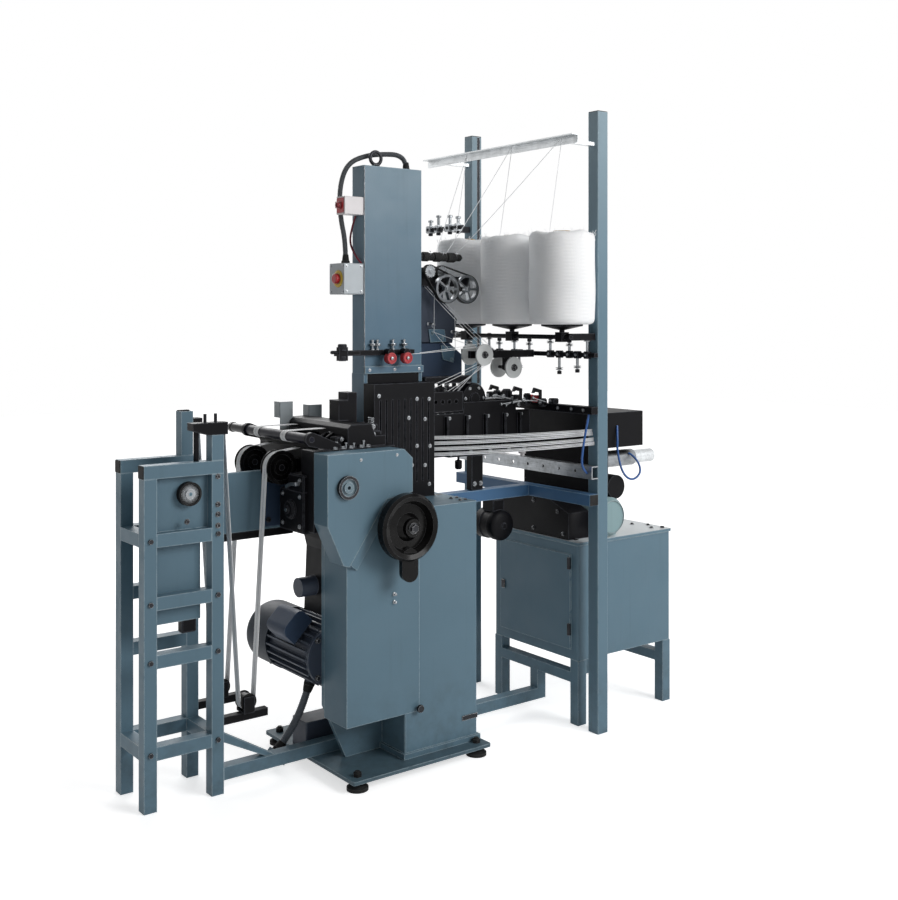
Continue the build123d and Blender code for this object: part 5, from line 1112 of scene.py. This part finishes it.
# Bevelled flank of the head cover, down to the casing
flank_inner = ((6.5, 693.8), (151.9, 900.3))
flank_outer = ((46.0, 668.0), (190.0, 872.0))
flank_lines = ((cover_face - 0.3, flank_inner), (casing_face - 2.0, flank_outer),
               (casing_face, flank_outer), (casing_face, flank_inner))
flank = bmesh.new()
flank_rows = [[flank.verts.new(place) for place in on_front(y, *line)] for y, line in flank_lines]
for row, after in zip(flank_rows, flank_rows[1:] + flank_rows[:1]):
    flank.faces.new((row[0], row[1], after[1], after[0]))
for end in range(2):
    flank.faces.new([row[end] for row in flank_rows])
piece("cover_flank", flank, "blue_enamel")

# Steel lever and pins on the head
pin_foot = 1034
pin_spots = ((20, 132), (52, 128), (84, 132), (118, 128), (36, 190), (70, 205), (104, 196), (150, 190))
small_lever = ((96, 1062), (122, 1078), (152, 1094))
head_pins = bmesh.new()
swept(head_pins, on_front(150, *small_lever), flat_bar(4, 7), back)
for x, y in pin_spots:
    tall = 16 + x % 7
    turned(head_pins, at(x, y, pin_foot), up, [
        (0, 0), (6, 0), (6, 4), (3.5, 5), (3.5, tall), (5, tall + 1), (5, tall + 5), (0, tall + 6)], 14)
piece("head_pins", head_pins, "machined_steel")

# Take-off housing beside the head, with its lever and pinion
housing_left, housing_right, housing_front = -89.0, -20.0, 150
pinion = (224, 850)
housing_screws = ((172, 894), (278, 894), (278, 802), (172, 802), (172, 944))
housing_lever = ((165, 935), (215, 930), (243, 918))
housing, housing_steel = blanks(2)
box(housing, (housing_left, housing_front, 780), (housing_right, 300, 912), 4.0)
box(housing, (housing_left, housing_front, 905), (housing_right, 245, 962), 4.0)
cap_screws(housing_steel, on_side(housing_left, *housing_screws), left, 5.0)
stepped(housing, *on_side(housing_left, pinion), left, [
    (30, 0), (30, 6), (25, 8), (25, 13), (12, 14), (12, 18)], 36)
swept(housing_steel, on_side(housing_left - 9, *housing_lever), flat_bar(3, 5), right)
stepped(housing_steel, at(housing_left, 178, 934), left, [(7, 0), (7, 14), (4, 16)], 18)
stepped(housing_steel, *on_side(housing_left - 18, pinion), left, [(6, -2), (6, 3)], 16)
piece("takeoff_housing", housing, "black_enamel")
piece("takeoff_lever", housing_steel, "machined_steel")

# Rear end of the guide roller, beyond its arm
roller_middle, roller_back = middle("guide_roller"), seat("guide_roller")[1].y
roller_end = bmesh.new()
stepped(roller_end, at(roller_middle.x, roller_back, roller_middle.z), back, [
    (15.5, -1), (15.5, 96), (17.5, 98), (17.5, 110), (15, 113)], 32)
piece("roller_end", roller_end, "black_gloss", "guide_roller")

# Lower lip of the link beam, black as painted shade under it, and head bracket in navy for painted shade from
# the head
link_low, link_high = seat("link_beam")
lip_drop, lip_front, lip_back = 24.0, 331, 346
bracket_front, bracket_long = 326, 112
lip, bracket = blanks(2)
# Black lip: a folded flange whose black is painted shade under the beam
box(lip, (link_low.x + 2, lip_front, link_low.z - lip_drop), (link_high.x - 1, lip_back, link_low.z + 1), 1.5)
# Navy plate: a connection plate whose dark navy is painted shade from the head on the beam
box(bracket, (link_high.x - bracket_long, bracket_front, link_low.z + 8),
    (link_high.x - 1, lip_front + 1, link_high.z - 4), 1.5)
for z in (link_low.z + 30, link_high.z - 30):
    hex_bolt(lip, at(link_high.x - 95, bracket_front, z), front, 13.0)
piece("link_lip_painted_shade", lip, "black_enamel")
piece("link_bracket_painted_shade", bracket, "navy_enamel")

# Sheet and guide block in the delivery stand
stand_sheet, guide_block = blanks(2)
box(stand_sheet, (-519, 297, 536), (-363, 300, 814), 1.0)
box(guide_block, (-424, 297, 498), (-376, 326, 540), 3.0)
piece("stand_sheet", stand_sheet, "blue_enamel")
piece("guide_block", guide_block, "black_enamel")

# Closing piece between the healds and the tower
heald_cap = bmesh.new()
box(heald_cap, (238, 301, seat("heald_housing")[1].z - 6), (468, 370, 1263), 2.0)
piece("heald_cap", heald_cap, "black_enamel")

# Shed motion beside the healds: bars, thin levers with pins, cam housing
motion_left, motion_front, lever_y = 482, 291, 319
motion_bars = ((motion_front, 318, 690, 1218, 1244), (320, 346, 752, 1182, 1204),
               (motion_front, 318, 740, 1096, 1116))
shed_levers, lever_pitch = 7, 32
cam_x, cam_z, cam_screws, cam_screw_r = 706, 1160, 6, 40
shed_springs = (520, 580, 640)
motion, motion_pins = blanks(2)
for bar_front, bar_back, bar_right, low, high in motion_bars:
    box(motion, (motion_left, bar_front, low), (bar_right, bar_back, high), 2.5)
for number in range(shed_levers):
    x, reach = 496 + lever_pitch * number, 10 * (number % 3)
    plate(motion, on_front(lever_y, (x, 1100), (x + 16, 1100), (x + 22, 1160 + reach),
                           (x + 12, 1226 + reach), (x - 2, 1222 + reach), (x + 4, 1158)), (0, 7, 0))
    stepped(motion_pins, at(x + 6, lever_y, 1214 + reach), front, [(5, -8), (5, 4), (3, 5), (3, 12)], 14)
    cap_screw(motion_pins, at(x + 8, motion_front, 1106), front, 4.0)
stepped(motion, at(cam_x, 300, cam_z), back, [
    (20, -8), (22, -4), (52, -2), (56, 4), (56, 46), (50, 50)], 40)
for step in range(cam_screws):
    angle = math.tau * step / cam_screws
    cap_screw(motion_pins, at(cam_x + cam_screw_r * math.cos(angle), 298,
                              cam_z + cam_screw_r * math.sin(angle)), front, 4.0)
for x in shed_springs:
    spring(motion_pins, at(x, 304, 1118), at(x, 304, 1216), 5.0, 1.0, 16)
piece("shed_motion", motion, "black_enamel")
piece("shed_motion_pins", motion_pins, "machined_steel")

# Carrier beside the warp bands: post on the table rail (a dark piece for painted shade, in line with the
# shaded rear creel post), beam, back board with its ribs, hanging weight
carrier_front, carrier_back, weight_y = 240.0, 272.0, 256
carrier_low, carrier_top, board_top, board_rise = 962.0, 988.0, 1112.0, 38
carrier_left, carrier_right, board_left, board_right = 545, 905, 481, 950
raised_left, raised_right = 636, 881
shade_post_left, shade_post_right = 648, 700
rib_xs, rib_wide = (552, 640, 728, 816, 890), 9
board_outline = ((board_left, carrier_low), (board_right, carrier_low), (board_right, board_top),
                 (raised_right, board_top), (raised_right, board_top + board_rise),
                 (raised_left, board_top + board_rise), (raised_left, board_top), (board_left, board_top))
carrier, carrier_pins = blanks(2)
box(carrier, (carrier_left, carrier_front, carrier_low), (carrier_right, carrier_back, carrier_top), 2.5)
# Painted shade: a dark post in line with the rear creel post where that post is in shade
box(carrier, (shade_post_left, carrier_front, table_high.z), (shade_post_right, carrier_back, carrier_low + 2), 2.5)
plate(carrier, on_front(carrier_back, *board_outline), sheet_thick)
for x in rib_xs:
    box(carrier, (x, carrier_back - 14, carrier_top - 2),
        (x + rib_wide, carrier_back + 2, board_top - 8), 1.0)
    cap_screw(carrier_pins, at(min(x + 22, 908), carrier_back, board_top - 16), front, 4.0)
    cap_screw(carrier_pins, at(x + 4, carrier_front, carrier_low + 13), front, 5.0)
stepped(carrier, at(600, weight_y, carrier_low + 1), down, [
    (4, 0), (4, 12), (13, 16), (13, 40), (9, 46)], 20)
for x in (shade_post_left + 12, shade_post_right - 12):
    hex_bolt(carrier_pins, at(x, carrier_front, table_high.z + 24), front, 12.0)
piece("warp_carrier", carrier, "black_enamel")
piece("carrier_screws", carrier_pins, "machined_steel")

# Creel: fittings along the tension bar, clamps on the rear rod, bodies and rods on the stop motion bar
bar_x, creel_bar_low, creel_bar_high, bar_grip = 943.0, 1312.0, 1328.0, 5
bar_fittings = ((622, 1), (560, -1), (498, 1), (437, 1), (349, 1), (321, -1), (264, 1), (149, 1), (101, -1),
                (49, 1), (8, -1), (-42, 1))
rod_x, rod_height = 835.0, 1800.0
rod_clamps = ((560, 20, 18), (612, 34, 26), (686, 22, 30), (738, 30, 14))
stop_face, stop_top = 921.0, 1141.0
stop_bodies = ((382, 40, 34, "black"), (256, 34, 26, "red"), (211, 30, 26, "red"), (330, 26, 22, "black"),
               (474, 30, 26, "black"), (120, 30, 20, "black"))
stop_screws = tuple((y, 1128) for y in (516, 300, 90, 20, -40))
stop_rods, rod_pitch, rod_from = 9, 38, 118
stop_brackets, stop_bracket_foot = ((352, 30, 54), (408, 26, 46), (236, 20, 44), (150, 24, 30)), 1130
creel_black, creel_steel, stop_red = blanks(3)
for number, (y, side) in enumerate(bar_fittings):
    box(creel_black, (bar_x - 13, y - 11, creel_bar_low - bar_grip),
        (bar_x + 9, y + 11, creel_bar_high + bar_grip), 2.0)
    rise = 16 + 9 * (number % 3)
    base = at(bar_x - 3, y, creel_bar_high + bar_grip if side > 0 else creel_bar_low - bar_grip)
    stepped(creel_steel, base, up * side, [
        (5, 0), (5, rise), (13, rise + 1), (13.5, rise + 3), (5, rise + 5), (13.5, rise + 7),
        (13, rise + 9), (4, rise + 10), (4, rise + 15)], 20)
    knurled(creel_black, base + up * side * (rise + 13) * mm, up * side, 8.0, 12.0, 14)
    cap_screw(creel_steel, at(bar_x - 13, y, (creel_bar_low + creel_bar_high) / 2), left, 3.6)
for y, wide, rise in rod_clamps:
    box(creel_steel, (rod_x - 15, y - wide / 2, rod_height - 14),
        (rod_x + 15, y + wide / 2, rod_height + 15), 3.0)
    stepped(creel_steel, at(rod_x, y, rod_height + 15), up, [
        (6, 0), (6, rise), (11, rise + 1), (11, rise + 8), (4, rise + 11)], 16)
    knurled(creel_black, at(rod_x, y, rod_height - 14), down, 9.0, 10.0, 14)
    cap_screw(creel_black, at(rod_x - 15, y, rod_height), left, 4.0)
for y, wide, tall, colour in stop_bodies:
    box(stop_red if colour == "red" else creel_black, (stop_face - 6, y - wide / 2, stop_top),
        (stop_face + 22, y + wide / 2, stop_top + tall), 3.0)
    stepped(creel_steel, at(stop_face - 6, y, stop_top + tall / 2), left, [
        (6, 0), (6, 3), (3, 4), (3, 9)], 14)
cap_screws(creel_steel, on_side(stop_face, *stop_screws), left, 4.5)
for number in range(stop_rods):
    y, reach = rod_from + rod_pitch * number, 58 + 17 * (number % 4)
    rod_end = at(stop_face - 36 - reach, y - 4 * (number % 3), 1166 - 9 * (number % 5))
    wire(creel_steel, [at(stop_face - 34, y, 1150), rod_end], 1.8)
    stepped(creel_steel, rod_end, left, [(5, -3), (5.5, 0), (5, 3)], 14)
for y, wide, rise in stop_brackets:
    box(creel_black, (stop_face - 30, y - wide / 2, stop_bracket_foot),
        (stop_face - 4, y + wide / 2, stop_bracket_foot + rise), 4.0)
    cap_screw(creel_steel, at(stop_face - 30, y, stop_bracket_foot + rise / 2), left, 5.0)
piece("creel_fittings", creel_black, "black_enamel")
piece("creel_posts_and_discs", creel_steel, "machined_steel")
piece("stop_bodies", stop_red, "red_plastic")

# Pump under the table rail
rail_under = 798.0
pump_x, pump_y, pump_z, pump_r = 768.0, 264.0, 705.0, 54.0
pump = bmesh.new()
stepped(pump, at(pump_x, pump_y, pump_z), back, [
    (10, -62), (12, -58), (38, -56), (pump_r - 4, -50), (pump_r, -44), (pump_r, -20),
    (pump_r - 3, -18), (pump_r - 3, 18), (pump_r, 20), (pump_r, 52), (pump_r - 8, 60)], 44)
box(pump, (pump_x - 26, pump_y - 30, pump_z + pump_r - 6), (pump_x + 26, pump_y + 34, rail_under), 3.0)
piece("table_pump", pump, "black_enamel")

# Motor: screws round the fan cover, flange bolts and vents
fan_low, fan_high = seat("motor_fan_cover")
fan_middle = middle("motor_fan_cover")
fan_r, flange_r, flange_face = (fan_high.x - fan_low.x) / 2, 84.0, 206
vent_rings, vent_wide, vent_rise = (30, 46, 62, 78), 6, 1.4
motor_bits, vents = blanks(2)
for number in range(4):
    angle = math.tau * (number + 0.5) / 4
    way = Vector((math.cos(angle), 0, math.sin(angle)))
    cap_screw(motor_bits, at(fan_middle.x, fan_low.y + 16, fan_middle.z) + way * fan_r * mm, way, 4.0)
    hex_bolt(motor_bits, at(fan_middle.x, flange_face, fan_middle.z) + way * flange_r * mm, front, 14.0)
for radius in vent_rings:
    turned(vents, at(fan_middle.x, fan_high.y, fan_middle.z), back, [
        (radius, 0), (radius, vent_rise), (radius + vent_wide, vent_rise), (radius + vent_wide, 0),
        (radius, 0)], 48)
piece("motor_screws", motor_bits, "black_steel")
piece("fan_vents", vents, "black_rubber")

# Cabinet: bolts in its lid, door hinges and latch, belt guard beside the motor
cabinet_left = seat("cabinet_box")[0].x
lid_spots = ((1376, 60), (1412, 110), (1376, 160), (1360, 440), (1000, 440), (985, 60))
hinge_zs = (316, 552)
guard_left, guard_right = 956, seat("unit_motor")[0].x - 4
guard_outline = ((70, 0), (470, 0), (470, 118), (430, 140), (180, 140), (70, 96))
guard_screws = ((100, 20), (260, 20), (440, 20), (440, 112), (260, 122), (130, 96))
lid_bits, hinges, guard = blanks(3)
cap_screws(lid_bits, on_top(lid_top, *lid_spots), up, 5.5)
for z in hinge_zs:
    stepped(hinges, at(cabinet_left - 1, 60, z), up, [(6, 0), (7, 2), (7, 40), (6, 42)], 18)
box(hinges, (cabinet_left - 5, 412, 420), (cabinet_left, 432, 452), 1.5)
plate(guard, on_side(guard_left, *((y, lid_top + z) for y, z in guard_outline)),
      (guard_right - guard_left, 0, 0))
cap_screws(lid_bits, on_side(guard_left, *((y, lid_top + z) for y, z in guard_screws)), left, 5.0)
piece("belt_guard", guard, "black_enamel")
piece("lid_bolts", lid_bits, "black_steel")
piece("door_hinges", hinges, "black_steel")

# Broken edges on the folded and welded pieces
edge_round, merge_gap = 1.6, 1e-5
edge_angle, flat_angle = math.radians(35), math.radians(1)
rounded_nodes = (
    "base_plate", "pedestal_column", "belt_casing", "head_cover", "tower", "link_beam", "cabinet_box",
    "head_frame", "switch_box", "junction_box", "clamp_block", "unit_gear_housing",
)
for name in rounded_nodes:
    merge = nodes[name].modifiers.new("merge", "WELD")
    merge.merge_threshold = merge_gap
    flat = nodes[name].modifiers.new("flat", "DECIMATE")
    flat.decimate_type = "DISSOLVE"
    flat.angle_limit = flat_angle
    flat.delimit = {"MATERIAL"}
    soft = nodes[name].modifiers.new("soft", "BEVEL")
    soft.width = edge_round * mm
    soft.segments = 2
    soft.limit_method = "ANGLE"
    soft.angle_limit = edge_angle
    soft.harden_normals = False

# Camera, light and floor
camera_turn, eye_height = math.radians(-37.4), 1450.0
camera = bpy.data.objects.new("camera", bpy.data.cameras.new("camera"))
scene.collection.objects.link(camera)
camera.location = at(-1889.1, -2945.2, eye_height)
camera.rotation_euler = (math.radians(90), 0.0, camera_turn)
camera.data.sensor_width = 36.0
camera.data.lens = 46.0
camera.data.shift_y = -0.1467
scene.camera = camera
scene.view_settings.view_transform = "Standard"


def area_light(name, place, aim, size, power):
    """A soft square light that faces a place."""
    lamp = bpy.data.objects.new(name, bpy.data.lights.new(name, "AREA"))
    scene.collection.objects.link(lamp)
    lamp.data.size = size
    lamp.data.energy = power
    lamp.location = place
    lamp.rotation_euler = (aim - place).to_track_quat("-Z", "Y").to_euler()


machine_middle = at(450, 300, 1000)
area_light("key", at(2100, -3500, 2900), machine_middle, size=2.2, power=132.0)
area_light("fill", at(-3400, -1800, 2300), machine_middle, size=2.5, power=7.0)
area_light("rim", at(900, 3600, 3000), machine_middle, size=2.5, power=70.0)


def white_to_view(tree, lit, strength_socket, white=1.0):
    """Gives a strength that is white to the camera, mirrors and glass, and lit to everything else."""
    path = put(tree, "ShaderNodeLightPath").outputs
    seen = sums(tree, "MAXIMUM", path["Is Camera Ray"],
                sums(tree, "MAXIMUM", path["Is Glossy Ray"], path["Is Transmission Ray"]))
    tree.links.new(spread(tree, seen, 0.0, 1.0, lit, white), strength_socket)


world = bpy.data.worlds.new("studio")
scene.world = world
world.use_nodes = True
sky = world.node_tree.nodes["Background"]
sky.inputs["Color"].default_value = (1.0, 1.0, 1.0, 1.0)
white_to_view(world.node_tree, 0.2, sky.inputs["Strength"])


def studio_floor():
    """A wide pale floor that keeps the machine's shadow and turns white away from it."""
    half, near, far = 14.0, 1.5, 4.2
    mesh = bpy.data.meshes.new("floor")
    mesh.from_pydata([(*spot, 0) for spot in flat_bar(half, half)], [], [(0, 1, 2, 3)])
    floor = bpy.data.objects.new("floor", mesh)
    scene.collection.objects.link(floor)
    paint = bpy.data.materials.new("floor_white")
    paint.use_nodes = True
    tree = paint.node_tree
    surface = tree.nodes["Principled BSDF"]
    surface.inputs["Base Color"].default_value = (0.86, 0.86, 0.86, 1.0)
    surface.inputs["Roughness"].default_value = 0.9
    surface.inputs["Emission Color"].default_value = (1.0, 1.0, 1.0, 1.0)
    reach = put(tree, "ShaderNodeVectorMath", {"operation": "LENGTH"})
    join(tree, put(tree, "ShaderNodeNewGeometry").outputs["Position"], reach.inputs[0])
    glow = spread(tree, reach.outputs["Value"], near, far, 0.62, 1.0)
    white_to_view(tree, 0.0, surface.inputs["Emission Strength"], glow)
    mesh.materials.append(paint)


studio_floor()
